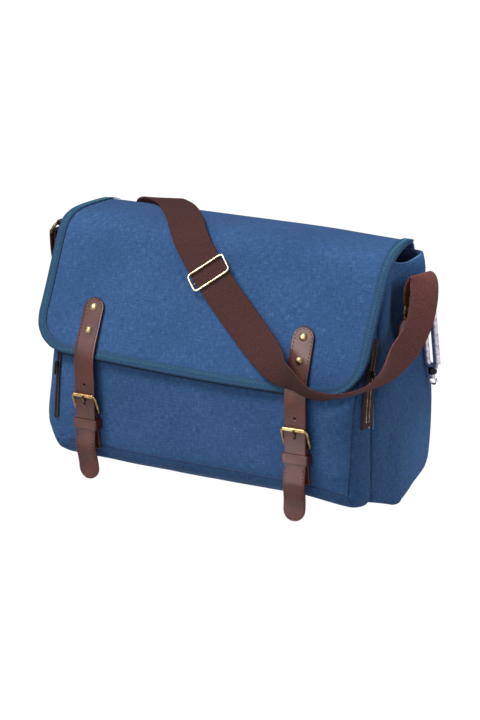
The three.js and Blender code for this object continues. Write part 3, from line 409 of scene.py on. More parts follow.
def add_stitch(bm, start, end, normal, width):
    """A short length of thread that bulges out of the cloth between two needle holes."""
    along = end - start
    way = along.normalized()
    up = (normal - way * normal.dot(way)).normalized()
    turn = Matrix((way, up.cross(way), up)).transposed().to_4x4()
    size = Matrix.Diagonal((along.length / 2, width / 2, width / 2, 1))
    bmesh.ops.create_icosphere(
        bm, subdivisions=1, radius=1, matrix=Matrix.Translation((start + end) / 2) @ turn @ size)


def stitch_row(bm, path, length, gap, width, lift):
    """Straight stitches along a traced path."""
    for place, normal, along in evenly(path, length + gap):
        start = place + normal * lift
        add_stitch(bm, start, start + along * length, normal, width)


def threads_piece(name, bm, material, slot):
    """A piece of rows of stitches."""
    shade_smooth(bm)
    return piece(name, finished(bm), [material], slot)


# Cloth: smooth finely divided copies of the walls, with soft folds and a map for the weave


def cloth(node, levels):
    """A CAD cloth wall, divided and smoothed. Hems and folds stay as sharp as they are bent."""
    bm = merged(node)
    join_quads(bm)
    crease = bm.edges.layers.float.new("crease_edge")
    for edge in bm.edges:
        if edge.is_manifold:
            bend = edge.calc_face_angle(0)
            edge[crease] = min(1, max(0, (bend - SOFT_FOLD) / (HARD_FOLD - SOFT_FOLD)))
    return finished(bm, ("SUBSURF", {"levels": levels, "render_levels": levels}))


def corner_points(mesh):
    """The number of the point at each corner of each face."""
    owner = np.empty(len(mesh.loops), np.int32)
    mesh.loops.foreach_get("vertex_index", owner)
    return owner


def lay_map(mesh, across, along):
    """Gives each face corner its place on the weave's map, in metres across and along the cloth."""
    spots = np.stack([across, along], 1).astype(np.float32)
    mesh.uv_layers.new(name="Threads").data.foreach_set("uv", spots.ravel())


def lay_threads(mesh):
    """A map that lies on the cloth: each face takes the plane that it looks along most."""
    points = places(mesh)[corner_points(mesh)]
    normals = np.empty(len(mesh.polygons) * 3, np.float32)
    mesh.polygons.foreach_get("normal", normals)
    sides = np.empty(len(mesh.polygons), np.int32)
    mesh.polygons.foreach_get("loop_total", sides)
    axis = np.repeat(np.abs(normals.reshape(-1, 3)).argmax(1), sides)
    across = np.where(axis == 0, points[:, 1], points[:, 0])
    up = np.where(axis == 2, points[:, 1], points[:, 2])
    lay_map(mesh, across, up)


# Without a seed of its own the noise would differ on every run
CLOTH_SEED = 3
noise.seed_set(CLOTH_SEED)


def wander(points, size, depth, seed):
    """Soft unevenness of hand-sewn cloth: every point drifts by a smooth noise of that size and depth."""
    drift = [noise.noise_vector(Vector(p) / size + Vector((seed, seed, seed))) for p in points]
    return points + depth * np.array([list(d) for d in drift])


def fold(points, start, end, way, width, depth):
    """A fold along a line, which pushes the cloth near it along a way and fades at both ends."""
    start, end, way = (np.array(v, float) * MM for v in (start, end, way))
    line = end - start
    share = np.clip((points - start) @ line / (line @ line), 0, 1)
    gap = np.linalg.norm(points - start - share[:, None] * line, axis=1)
    fade = np.sin(np.pi * np.clip(share * 0.8 + 0.1, 0, 1)) ** 2
    push = np.exp(-(gap / (width * MM)) ** 2) * fade * depth
    return points + push[:, None] * way


body = cloth("body_shell", 2)
points = wander(places(body), size=55 * MM, depth=1.0 * MM, seed=1.0)
RIGHT, LEFT, BACK, ABOVE, BELOW = (1, 0, 0), (-1, 0, 0), (0, 1, 0), (0, 0, 1), (0, 0, -1)
# Wrinkles, folds and broad soft pushes: start, end, way, width and depth in millimetres
for start, end, way, width, depth in (
    ((186, 30, 60), (186, 20, 110), RIGHT, 9, 2.2),
    ((186, -20, 40), (187, -30, 90), RIGHT, 8, -2.0),
    ((184, 40, 130), (186, 0, 122), RIGHT, 5, 1.8),
    ((180, -10, 170), (180, 15, 235), RIGHT, 12, -3.0),
    ((178, 46, 205), (178, 46, 262), RIGHT, 24, 6.0),
    ((184, 30, 20), (172, 110, 70), BELOW, 34, 11.0),
    ((179, -36, 240), (179, 20, 242), ABOVE, 14, 8.0),
    ((187, 4, 92), (187, 40, 86), RIGHT, 4, 1.8),
    ((187, 8, 84), (187, 38, 79), RIGHT, 4, -1.4),
    ((186, -13, 36), (187, -11, 68), RIGHT, 3, -1.5),
    ((186, -24, 38), (187, -23, 66), RIGHT, 3, -1.4),
    ((-186, 30, 60), (-186, 20, 110), LEFT, 9, 2.2),
    ((-184, 30, 150), (-186, -10, 135), LEFT, 6, 1.8),
    ((-90, 66, 60), (-40, 70, 110), BACK, 14, 2.0),
    ((60, 70, 50), (110, 66, 100), BACK, 16, -2.0),
    ((-20, 55, 150), (60, 52, 190), BACK, 16, 1.6),
):
    points = fold(points, start, end, way, width, depth)
points[:, 2] = np.maximum(points[:, 2], 0)
place_all(body, points)
lay_threads(body)
piece("canvas_body", body, [BLUE_CANVAS, LINING], "canvas", "body_shell")
INSIDE = Vector((0, 8, 120)) * MM
for face in body.polygons:
    face.material_index = 1 if face.normal.dot(INSIDE - face.center) > 0 else 0

# Front pocket: its front is evened out within a border, and its lower corners are smoothed

POCKET_FRONT = {"side": 168 * MM, "foot": 36 * MM, "top": 172 * MM, "border": 12 * MM}
POCKET_CORNER = {"x": 170 * MM, "z": 34 * MM, "reach": 16 * MM}
# How far round a point depths are taken, how thick the wall is, and a step in depth that is another wall's
PRESS = {"reach": 12 * MM, "thick": 1.2 * MM, "step": 5 * MM, "passes": 8, "corner_passes": 10}


def pressed(mesh):
    """Evens out the pocket's front: its points draw apart, and each takes the mean depth round it."""
    tree = surface(mesh)

    def depth(x, z):
        place = tree.ray_cast(Vector((x, -FAR_OUT, z)), INTO_BAG)[0]
        return place.y if place else 0

    def on_front(spot):
        return abs(depth(spot.x, spot.z) - spot.y) < PRESS["thick"]

    def share(spot):
        sides = POCKET_FRONT["side"] - abs(spot.x)
        ends = min(spot.z - POCKET_FRONT["foot"], POCKET_FRONT["top"] - spot.z)
        return min(1, max(0, min(sides, ends) / POCKET_FRONT["border"]))

    turns = np.arange(0, math.tau, math.tau / 8)
    rings = [(0.0, 0.0)] + [
        (ring * PRESS["reach"] * math.cos(a), ring * PRESS["reach"] * math.sin(a))
        for ring in (0.33, 0.67, 1.0) for a in turns
    ]
    bm = bmesh.new()
    bm.from_mesh(mesh)
    front = [v for v in bm.verts if share(v.co) > 0 and on_front(v.co)]
    for _ in range(PRESS["passes"]):
        bmesh.ops.smooth_vert(
            bm, verts=front, factor=0.5, use_axis_x=True, use_axis_y=False, use_axis_z=True)
    for vert in front:
        x, y, z = vert.co
        depths = [depth(x + dx, z + dz) for dx, dz in rings]
        depths = [d for d in depths if abs(d - y) < PRESS["step"]]
        if depths:
            vert.co.y += (sum(depths) / len(depths) - y) * share(vert.co)
    for x in (-POCKET_CORNER["x"], POCKET_CORNER["x"]):
        middle = (x, POCKET_CORNER["z"])
        near = [v for v in bm.verts if math.dist((v.co.x, v.co.z), middle) < POCKET_CORNER["reach"]]
        corner = [v for v in near if on_front(v.co)]
        for _ in range(PRESS["corner_passes"]):
            bmesh.ops.smooth_vert(
                bm, verts=corner, factor=0.5, use_axis_x=True, use_axis_y=True, use_axis_z=True)
    bm.to_mesh(mesh)
    bm.free()


pocket = cloth("front_pocket", 2)
pressed(pocket)
place_all(pocket, wander(places(pocket), size=60 * MM, depth=1.0 * MM, seed=4.0))
lay_threads(pocket)
piece("canvas_front_pocket", pocket, [BLUE_CANVAS], "canvas", "front_pocket")

# Flap: the sheet's map runs along its profile, from the back hem over the top to the front hem

FLAP_PROFILE = [Vector((0, y, z)) * MM for y, z in (
    (52.4, 226), (51.6, 244), (48, 257), (36, 263), (10, 264), (-14, 263), (-29, 259.5), (-38, 252),
    (-46, 235), (-59.5, 203), (-70.5, 177), (-81, 152), (-91, 127),
)]
FLAP_STARTS = [0.0]
for a, b in zip(FLAP_PROFILE, FLAP_PROFILE[1:]):
    FLAP_STARTS.append(FLAP_STARTS[-1] + (b - a).length)
FLAP_LENGTH = FLAP_STARTS[-1]
FLAP_LEFT, FLAP_RIGHT = 187 * MM, 185.5 * MM
LEFT_CORNER, RIGHT_CORNER = 38 * MM, 40 * MM
HEM_FROM, HEM_TO = LEFT_CORNER - FLAP_LEFT, FLAP_RIGHT - RIGHT_CORNER


def flap_runs(points):
    """How far along the flap's profile each point lies."""
    best = np.full(len(points), 1e9)
    runs = np.zeros(len(points))
    for a, b, start in zip(FLAP_PROFILE, FLAP_PROFILE[1:], FLAP_STARTS):
        line = np.array((b - a)[1:])
        share = np.clip((points[:, 1:] - np.array(a[1:])) @ line / (line @ line), 0, 1)
        gap = np.linalg.norm(points[:, 1:] - np.array(a[1:]) - share[:, None] * line, axis=1)
        nearer = gap < best
        best[nearer] = gap[nearer]
        runs[nearer] = start + share[nearer] * (b - a).length
    return runs


flap = cloth("flap", 3)
points = places(flap)
owner = corner_points(flap)
lay_map(flap, points[owner, 0], flap_runs(points)[owner])
flap_piece = piece("canvas_flap", flap, [BLUE_CANVAS], "canvas", "flap")

# The tape is pressed on, so it stands off the flap by this share of what its solid does
TAPE_LIFT = 0.6
binding = cloth("flap_binding", 2)
on_flap = surface(finished(merged("flap")))
points = places(binding)
near = np.array([list(on_flap.find_nearest(Vector(p))[0]) for p in points])
place_all(binding, near + (points - near) * TAPE_LIFT)
binding_piece = piece("flap_binding_tape", binding, [BINDING], "binding", "flap_binding")


def flap_ray(x, run):
    """A ray onto the flap from outside, at a place across it and along it."""
    at = max(i for i, start in enumerate(FLAP_STARTS[:-1]) if start <= run)
    a, b = FLAP_PROFILE[at], FLAP_PROFILE[at + 1]
    place = a.lerp(b, (run - FLAP_STARTS[at]) / (b - a).length)
    out = (b - a).cross(TO_RIGHT).normalized()
    place.x = x
    return place + out * 30 * MM, -out


# Zigzag stitches hold the tape, on a line in from the flap's edge

ZIGZAG = {
    "start": 40 * MM, "inset": 4.4 * MM, "reach": 2.5 * MM,
    "step": 1.6 * MM, "width": 0.7 * MM, "lift": 0.15 * MM,
}
CORNER_TURNS = [math.radians(d) for d in range(0, 91, 10)]
# The flap's right-hand edge is drawn in on the top and at the back: how far, up to where, over what length
DRAWN_IN = ((6 * MM, 118 * MM, 48 * MM), (13 * MM, 100 * MM, 100 * MM))


def drawn_in(run):
    """How far the flap's right-hand edge is drawn in at a place along it."""
    return sum(depth * eased((end - run) / length) for depth, end, length in DRAWN_IN)


def edge_line(way, half, corner):
    """Rays along one side of the flap and round its lower corner, from the back to the hem."""
    inset = ZIGZAG["inset"]
    side = []
    for run in np.arange(ZIGZAG["start"], FLAP_LENGTH - corner, 4 * MM):
        edge = half - drawn_in(run) if way > 0 else half
        side.append(flap_ray(way * (edge - inset), run))
    reach = corner - inset
    return side + [
        flap_ray(way * (half - corner + reach * math.cos(t)), FLAP_LENGTH - corner + reach * math.sin(t))
        for t in CORNER_TURNS
    ]


hem = [flap_ray(x, FLAP_LENGTH - ZIGZAG["inset"]) for x in np.arange(HEM_FROM, HEM_TO, 6 * MM)]
edge_rays = edge_line(-1, FLAP_LEFT, LEFT_CORNER) + hem + edge_line(1, FLAP_RIGHT, RIGHT_CORNER)[::-1]
zigzag = evenly(trace(surface(binding), edge_rays), ZIGZAG["step"])
swung = []
for i, (place, normal, along) in enumerate(zigzag):
    swing = ZIGZAG["reach"] if i % 2 else -ZIGZAG["reach"]
    swung.append(place + normal * ZIGZAG["lift"] + normal.cross(along) * swing)
bm = bmesh.new()
for i, (a, b) in enumerate(zip(swung, swung[1:])):
    add_stitch(bm, a, b, zigzag[i][1], ZIGZAG["width"])
binding_stitches = threads_piece("binding_stitches", bm, TEAL_THREAD, "binding")


def welt(bm, path, radius):
    """A fine tube along a traced path, made by drawing a ring of edges along it."""
    ring = None
    for place, normal, along in evenly(path, 2.5 * MM):
        side = normal.cross(along).normalized()
        turn = Matrix((side, along.cross(side), along)).transposed().to_4x4()
        stand = Matrix.Translation(place) @ turn
        made = bmesh.ops.create_circle(bm, segments=6, radius=radius, matrix=stand)["verts"]
        edges = list(dict.fromkeys(e for v in made for e in v.link_edges))
        if ring:
            bmesh.ops.bridge_loops(bm, edges=ring + edges)
        ring = edges


def welts(name, material, radius, *paths):
    """A piece of fine tubes along traced paths."""
    bm = bmesh.new()
    for path in paths:
        welt(bm, path, radius)
    shade_smooth(bm)
    bmesh.ops.recalc_face_normals(bm, faces=bm.faces)
    return piece(name, finished(bm), [material], "canvas")


# A dark navy tube along the hem, just below the tape: a painted shadow line where the hem stands off the
# pocket

SHADOW_LINE_DROP = Vector((0, 1.0, -0.2)) * MM
points = places(binding)
lowest = []
for x in np.arange(HEM_FROM, HEM_TO, 8 * MM):
    row = points[np.abs(points[:, 0] - x) < 6 * MM]
    _, y, z = row[row[:, 2].argmin()]
    lowest.append((Vector((x, y, z)) + SHADOW_LINE_DROP, -INTO_BAG))
hem_shadow_tube = welts("flap_hem_painted_shadow", HEM_SHADOW_LINE, 1.3 * MM, lowest)

# Seams of the pocket: fine welts along the foot and the right-hand edge of its front, x and z in millimetres

BOTTOM_SEAM = ((-146, 41), (-60, 39.5), (60, 38.5), (120, 36), (168, 31))
RIGHT_SEAM = ((170, 16), (169.5, 33), (174, 60), (176, 110), (175, 180))


def seam_rays(spots, step=6):
    """Rays from the front at places a step apart along straight lines between spots."""
    made = []
    for a, b in zip(spots, spots[1:]):
        a, b = np.array(a), np.array(b)
        count = max(1, round(math.dist(a, b) / step))
        made += [a + (b - a) * i / count for i in range(count)]
    return [(Vector((x * MM, -FAR_OUT, z * MM)), INTO_BAG) for x, z in made + [spots[-1]]]


on_pocket = surface(pocket)
welts("pocket_seams", NAVY_THREAD, 0.7 * MM,
      *[trace(on_pocket, seam_rays(seam)) for seam in (BOTTOM_SEAM, RIGHT_SEAM)])

# Piping up the body's front corners, a pale edge along each gusset's rim, and a row of stitches below the
# rim. Each rim edge is a folded hem, and its pale piping colour is also a painted highlight along the rim

# The piping's line in millimetres: it is further forward on the left, and below the belly's top
PIPE = {"x": 184, "y": -50, "skew": 5, "belly": 6, "belly_top": 165, "belly_fade": 35, "top": 237}
HEM_STITCH = {"length": 2.8 * MM, "gap": 1.2 * MM, "width": 0.8 * MM, "lift": 0.1 * MM}
on_body = surface(body)


def piping_rays(way, foot):
    """Rays onto a front corner of the body, from its foot up."""
    look = Vector((-way, 1, 0)).normalized()
    rays = []
    for z in np.arange(foot, PIPE["top"], 5):
        belly = PIPE["belly"] * eased((PIPE["belly_top"] - z) / PIPE["belly_fade"])
        corner = Vector((way * PIPE["x"], PIPE["y"] + way * PIPE["skew"] - belly, z)) * MM
        rays.append((corner - look * 100 * MM, look))
    return rays


def rim_crest(way):
    """The highest line along a gusset's rim, from front to back, evened out."""
    crest = []
    for y in np.arange(-32, 44, 3):
        rays = [(Vector((way * x * MM, y * MM, FAR_OUT)), DOWN) for x in np.arange(166, 196, 0.5)]
        spots = [place for place, _ in trace(on_body, rays)]
        top = max(spot.z for spot in spots)
        level = [spot for spot in spots if spot.z > top - 0.4 * MM]
        crest.append(sum(level, Vector()) / len(level))
    return [((a + b * 2 + c) / 4, UP) for a, b, c in zip(crest, crest[1:], crest[2:])]


corners = [trace(on_body, piping_rays(way, foot)) for way, foot in ((1, 92), (-1, 120))]
welts("body_piping", PIPING, 1.1 * MM, *corners)
# Pale tubes on the rims: folded hems whose pale colour is partly a painted highlight
welts("gusset_rim_hems_and_highlight", PIPING, 1.0 * MM, rim_crest(1), rim_crest(-1))
bm = bmesh.new()
for way in (1, -1):
    hem_line = [Vector((way * FAR_OUT, y * MM, (229 + 0.02 * y) * MM)) for y in range(-22, 40, 4)]
    stitch_row(bm, trace(on_body, [(spot, TO_RIGHT * -way) for spot in hem_line]), **HEM_STITCH)
threads_piece("gusset_hem_stitches", bm, NAVY_THREAD, "canvas")

# Leather: straps laid out flat and bent along the CAD strap's run, with rounded cut edges and stitches

LEATHER_THICK = 2.4 * MM
STRAP = {"width": 23.5 * MM, "tip": 12 * MM, "columns": 12, "rows": 70, "edge": 0.7 * MM}
PUNCH = {"heights": (86 * MM, 106 * MM), "radius": 1.3 * MM, "depth": 12 * MM}
STRAP_STITCH = {"length": 2.6 * MM, "gap": 1.1 * MM, "width": 0.8 * MM, "lift": 0.1 * MM}
# Stitches run in from the edge. They stop above the buckle, start again below the keeper, and end 1.6 times
# the tip's length before the tip
STITCH_INSET, STITCH_STOP, STITCH_START, STITCH_END = 2.3 * MM, 136 * MM, 57 * MM, 1.6


def strap_run(node):
    """The middle of a closure strap's front from its top to its tip, and the way across it."""
    tree = surface(finished(merged(node)))
    low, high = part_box(node)
    rows, across = [], Vector()
    for z in np.arange(high.z - 0.3 * MM, low.z + 0.2 * MM, -1.5 * MM):
        scan = [(Vector((x, -FAR_OUT, z)), INTO_BAG) for x in np.arange(low.x - MM, high.x + MM, 0.5 * MM)]
        hits = [place for place, _ in trace(tree, scan)]
        rows.append(list((hits[0] + hits[-1]) / 2))
        across += hits[-1] - hits[0]
    rows = np.array(rows)
    reach = 5
    padded = np.concatenate([2 * rows[:1] - rows[reach:0:-1], rows, 2 * rows[-1:] - rows[-2:-reach - 2:-1]])
    window = np.ones(2 * reach + 1) / (2 * reach + 1)
    evened = np.stack([np.convolve(padded[:, i], window, "valid") for i in range(3)], 1)
    return [Vector(p) for p in evened], Vector((across.x, across.y, 0)).normalized()


def run_frames(run):
    """A run's length, and a function that gives the place and the way along at a distance."""
    starts = [0.0]
    for a, b in zip(run, run[1:]):
        starts.append(starts[-1] + (b - a).length)

    def at(distance):
        i = min(max(0, int(np.searchsorted(starts, distance)) - 1), len(run) - 2)
        share = (distance - starts[i]) / (starts[i + 1] - starts[i])
        before, after = run[max(i - 1, 0)], run[min(i + 2, len(run) - 1)]
        return run[i].lerp(run[i + 1], share), (after - before).normalized()

    return starts[-1], at


def punched(bm, spots):
    """A leather strap's mesh with round holes through it."""
    punch_bm = bmesh.new()
    for spot in spots:
        turn = Matrix.Translation(spot) @ Matrix.Rotation(math.pi / 2, 4, "X")
        bmesh.ops.create_cone(punch_bm, cap_ends=True, segments=16, radius1=PUNCH["radius"],
                              radius2=PUNCH["radius"], depth=PUNCH["depth"], matrix=turn)
    punch = bpy.data.objects.new("punch", bpy.data.meshes.new("punch"))
    punch_bm.to_mesh(punch.data)
    punch_bm.free()
    scene.collection.objects.link(punch)
    mesh = finished(bm, ("BOOLEAN", {"object": punch, "operation": "DIFFERENCE", "solver": "EXACT"}))
    bpy.data.objects.remove(punch)
    return mesh


def closure_strap(side):
    """A closure strap with a round top, a round tip and punched holes, and its stitches."""
    node = "closure_strap_" + side
    run, across = strap_run(node)
    length, at = run_frames(run)
    half, tip = STRAP["width"] / 2, STRAP["tip"]

    def half_width(s):
        top = 1 - min(1, s / half)
        end = 1 - min(1, (length - s) / tip)
        return half * math.sqrt(max(0.0, 1 - max(top, end) ** 2))

    def on_front(s, t):
        place, along = at(s)
        return place + across * t, along.cross(across).normalized()

    turns = [math.radians(d) for d in (6, 18, 30, 42, 54, 66, 78)]
    rows = [half * (1 - math.cos(t)) for t in turns]
    rows += list(np.linspace(half, length - tip, STRAP["rows"]))
    rows += [length - tip * (1 - math.cos(t)) for t in reversed(turns)]
    bm = bmesh.new()
    bmesh.ops.create_grid(bm, x_segments=STRAP["columns"], y_segments=len(rows) - 1, size=0.5)
    for vert in bm.verts:
        s = rows[round((0.5 - vert.co.y) * (len(rows) - 1))]
        vert.co, _ = on_front(s, 2 * vert.co.x * half_width(s))
    bmesh.ops.recalc_face_normals(bm, faces=bm.faces)
    if sum(face.normal.y for face in bm.faces) > 0:
        bmesh.ops.reverse_faces(bm, faces=bm.faces)
    bmesh.ops.solidify(bm, geom=bm.faces[:], thickness=LEATHER_THICK)
    rim = [e for e in bm.edges if e.is_manifold and e.calc_face_angle(0) > CUT_EDGE]
    bmesh.ops.bevel(
        bm, geom=rim, offset=STRAP["edge"], segments=3, profile=0.5, affect="EDGES", material=-1)
    shade_smooth(bm)
    mesh = punched(bm, [next(p for p in run if p.z <= z) for z in PUNCH["heights"]])
    piece("leather_strap_" + side, mesh, [LEATHER], "leather", node)

    line = half - STITCH_INSET
    upper = next(s for s in rows if at(s)[0].z < STITCH_STOP)
    lower = next(s for s in rows if at(s)[0].z < STITCH_START)
    bends = np.linspace(-math.pi / 2, math.pi / 2, 15)
    head = [(half - line * math.cos(a), line * math.sin(a)) for a in bends]
    tail = np.linspace(lower, length - STITCH_END * tip, 20)
    paths = [
        [(s, -line) for s in np.linspace(upper, half, 20)] + head[1:-1]
        + [(s, line) for s in np.linspace(half, upper, 20)],
        [(s, line) for s in tail],
        [(s, -line) for s in tail],
    ]
    bm = bmesh.new()
    for path in paths:
        stitch_row(bm, [on_front(s, t) for s, t in path], **STRAP_STITCH)
    threads_piece("leather_stitches_" + side, bm, RED_THREAD, "leather")


for side in ("left", "right"):
    closure_strap(side)


def hide(node, voxel):
    """A folded leather piece, remeshed and smoothed so that its edges are rounded as waxed ones are."""
    mesh = finished(
        merged(node),
        ("REMESH", {"mode": "VOXEL", "voxel_size": voxel, "use_smooth_shade": True}),
        ("SMOOTH", {"factor": 0.5, "iterations": 5}),
    )
    return piece("leather_" + node, mesh, [LEATHER], "leather", node)


for node in ("buckle_tab_left", "buckle_tab_right", "side_tab_left", "side_tab_right"):
    hide(node, 0.6 * MM)
for node in ("keeper_left", "keeper_right"):
    hide(node, 0.4 * MM)

# Webbing: the ribbon's map runs across and along it

SELVEDGE_CREASE = 0.85


def end_ring(bm):
    """The four corners of one cut end: two level triangles with square edges all round."""
    for edge in bm.edges:
        rim = {e for face in edge.link_faces for e in face.edges} - {edge}
        if edge.calc_face_angle(1) < LEVEL and all(e.calc_face_angle(0) > SOFT_FOLD for e in rim):
            pair = list(edge.verts)
            others = [v for face in edge.link_faces for v in face.verts if v not in pair]
            return [pair[0], others[0], pair[1], others[1]]


def ribbon(node, name, material, slot):
    """A CAD strap walked from end to end, so that its map follows it, then smoothed along its run."""
    bm = merged(node)
    ring = end_ring(bm)
    if (ring[0].co - ring[1].co).length < (ring[1].co - ring[2].co).length:
        ring = ring[1:] + ring[:1]
    width = (ring[0].co - ring[1].co).length
    spot, run, row = {}, 0.0, 0

    def walked(order):
        return sum((a.co - b.co).length for a, b in zip(ring, order))

    def is_diagonal(edge):
        (row_a, corner_a), (row_b, corner_b) = (spot[v][2:] for v in edge.verts)
        return corner_a != corner_b if row_a != row_b else abs(corner_a - corner_b) == 2

    while ring:
        for corner, (vert, across) in enumerate(zip(ring, (0, width, width, 0))):
            spot[vert] = (across, run, row, corner)
        unseen = {e.other_vert(v) for v in ring for e in v.link_edges} - set(spot)
        following = min(permutations(unseen), key=walked)
        run += walked(following) / 4
        ring = following
        row += 1
    diagonals = [e for e in bm.edges if is_diagonal(e)]
    bmesh.ops.dissolve_edges(bm, edges=diagonals, use_verts=False, use_face_split=False)
    threads = bm.loops.layers.uv.new("Threads")
    crease = bm.edges.layers.float.new("crease_edge")
    for face in bm.faces:
        for loop in face.loops:
            loop[threads].uv = spot[loop.vert][:2]
    for edge in bm.edges:
        edge[crease] = SELVEDGE_CREASE if edge.calc_face_angle(0) > SOFT_FOLD else 0
    mesh = finished(bm, ("SUBSURF", {"levels": 3, "render_levels": 3}))
    return piece(name, mesh, [material], slot, node)


ribbon("shoulder_strap", "webbing_shoulder_strap", WEBBING, "webbing")

# Zips: tapes with two rows of metal teeth. A width is a share of the CAD tape's

TOOTH = Vector((1.0, 0.75, 0.8)) * MM
TOOTH_STEP = 1.5 * MM
ZIPS = {
    "left": {"tape": DARK_TAPE, "teeth": DARK_STEEL, "width": 0.36, "rows": 0.7 * MM, "out": (-0.7, -0.7, 0)},
    "right": {"tape": ZIP_TAPE, "teeth": ZIP_TEETH, "width": 1.4, "rows": 2.4 * MM, "out": (0.75, -0.66, 0)},
}


def zip_rows(node):
    """The middles of a CAD zip's rows of six points, from its lower end up."""
    bm = merged(node)
    spots = sorted((v.co.copy() for v in bm.verts), key=lambda p: p.z)
    bm.free()
    return [sum(spots[i:i + 6], Vector()) / 6 for i in range(0, len(spots), 6)]


for side, looks in ZIPS.items():
    node = "zip_" + side
    middles = zip_rows(node)
    mesh = cloth(node, 2)
    points = places(mesh)
    heights = [m.z for m in middles]
    lines = np.stack([np.interp(points[:, 2], heights, [m[i] for m in middles]) for i in range(2)], 1)
    points[:, :2] = lines + (points[:, :2] - lines) * looks["width"]
    place_all(mesh, points)
    piece("zip_tape_" + side, mesh, [looks["tape"]], "webbing", node)
    out = Vector(looks["out"])
    path = trace(surface(mesh), [(m + out * 50 * MM, -out) for m in middles])
    bm = bmesh.new()
    for place, normal, along in evenly(path, TOOTH_STEP):
        across = normal.cross(along).normalized()
        turn = Matrix((across, along, normal)).transposed().to_4x4() @ Matrix.Diagonal((*TOOTH, 1))
        for way in (-1, 1):
            spot = place + across * way * looks["rows"]
            bmesh.ops.create_cube(bm, size=1, matrix=Matrix.Translation(spot) @ turn)
    piece("zip_teeth_" + side, finished(bm), [looks["teeth"]], "brass")

# Metal: wire frames bent from round wire, spun rivets and cast pieces with broken edges


def seat(node):
    """The middle of a CAD node's box along its own axes, those axes from the longest, and its sizes."""
    bm = merged(node)
    points = np.array([list(v.co) for v in bm.verts])
    bm.free()
    middle = points.mean(0)
    axes = np.linalg.svd(points - middle, full_matrices=False)[2]
    spread = (points - middle) @ axes.T
    low, high = spread.min(0), spread.max(0)
    return Vector(middle + (low + high) / 2 @ axes), [Vector(a) for a in axes], high - low


def towards(axis, way):
    """An axis, turned round if it points away from a way."""
    return axis if axis.dot(way) > 0 else -axis


def bent_wire(width, height, corner, radius):
    """A closed frame of round wire in the XY plane: a section drawn along its sides and spun at corners."""
    bm = bmesh.new()
    stand = Matrix.Translation((width / 2, corner - height / 2, 0)) @ Matrix.Rotation(math.pi / 2, 4, "X")
    bmesh.ops.create_circle(bm, segments=10, radius=radius, matrix=stand)
    ring = bm.edges[:]
    ways = (Vector((0, 1, 0)), Vector((-1, 0, 0)), Vector((0, -1, 0)), Vector((1, 0, 0)))
    pivots = [Vector((x * (width / 2 - corner), y * (height / 2 - corner), 0))
              for x, y in ((1, 1), (-1, 1), (-1, -1), (1, -1))]
    for i, (way, pivot) in enumerate(zip(ways, pivots)):
        side = (height if i % 2 == 0 else width) - 2 * corner
        new = bmesh.ops.extrude_edge_only(bm, edges=ring)["geom"]
        bmesh.ops.translate(bm, verts=[g for g in new if isinstance(g, bmesh.types.BMVert)], vec=way * side)
        ring = [g for g in new if isinstance(g, bmesh.types.BMEdge) and len(g.link_faces) == 1]
        spun = bmesh.ops.spin(bm, geom=ring, cent=pivot, axis=UP, angle=math.pi / 2, steps=6)["geom_last"]
        ring = [g for g in spun if isinstance(g, bmesh.types.BMEdge)]
    closed(bm)
    return bm


def add_mesh(bm, other):
    """Adds one bmesh to another."""
    mesh = bpy.data.meshes.new("added")
    other.to_mesh(mesh)
    other.free()
    bm.from_mesh(mesh)
    bpy.data.meshes.remove(mesh)


def put(bm, across, up, middle):
    """Moves a shape from the XY plane to its place: its X across, its Y up and its origin at the middle."""
    turn = Matrix((across, up, across.cross(up))).transposed().to_4x4()
    bmesh.ops.transform(bm, matrix=Matrix.Translation(middle) @ turn, verts=bm.verts)


def add_bar(bm, start, end, radius, sides=14):
    """A round bar with softened ends."""
    along = end - start
    turn = Matrix.Translation((start + end) / 2) @ along.to_track_quat("Z", "Y").to_matrix().to_4x4()
    made = bmesh.ops.create_cone(bm, cap_ends=True, segments=sides, radius1=radius, radius2=radius,
                                 depth=along.length, matrix=turn)["verts"]
    caps = [f for v in made for f in v.link_faces if len(f.verts) == sides]
    rims = list({e for f in caps for e in f.edges})
    softened = bmesh.ops.bevel(
        bm, geom=rims, offset=radius * 0.3, segments=2, profile=0.5, affect="EDGES", material=-1)["faces"]
    for face in softened + [f for v in made if v.is_valid for f in v.link_faces]:
        face.smooth = True


OUT = Vector((0, -1, 0.3))
BUCKLE = {"wire": 2.4 * MM, "radius": 1.25 * MM, "corner": 3 * MM, "roller": 1.95 * MM}
for side in ("left", "right"):
    node = "buckle_" + side
    middle, (long, short, _), sizes = seat(node)
    width, height = sizes[0] - BUCKLE["wire"], sizes[1] - BUCKLE["wire"]
    bm = bent_wire(width, height, BUCKLE["corner"], BUCKLE["radius"])
    end = Vector((width / 2 - BUCKLE["corner"] * 0.6, height / 2, 0))
    add_bar(bm, Vector((-end.x, end.y, 0)), end, BUCKLE["roller"])
    put(bm, towards(long, TO_RIGHT), towards(short, UP), middle)
    piece("brass_buckle_" + side, finished(bm), [BRASS], "brass", node)

RING = {"radius": 1.6 * MM, "corner": 3.5 * MM}
for side, way in (("left", Vector((-0.55, 0, -0.835))), ("right", Vector((0.2, 0, 0.98)))):
    node = "side_ring_" + side
    middle, (long, short, _), sizes = seat(node)
    width, height = sizes[0] - 2 * RING["radius"], sizes[1] - 2 * RING["radius"]
    bm = bent_wire(width, height, RING["corner"], RING["radius"])
    put(bm, towards(long, INTO_BAG), towards(short, way), middle)
    piece("brass_ring_" + side, finished(bm), [DARK_BRASS], "brass", node)

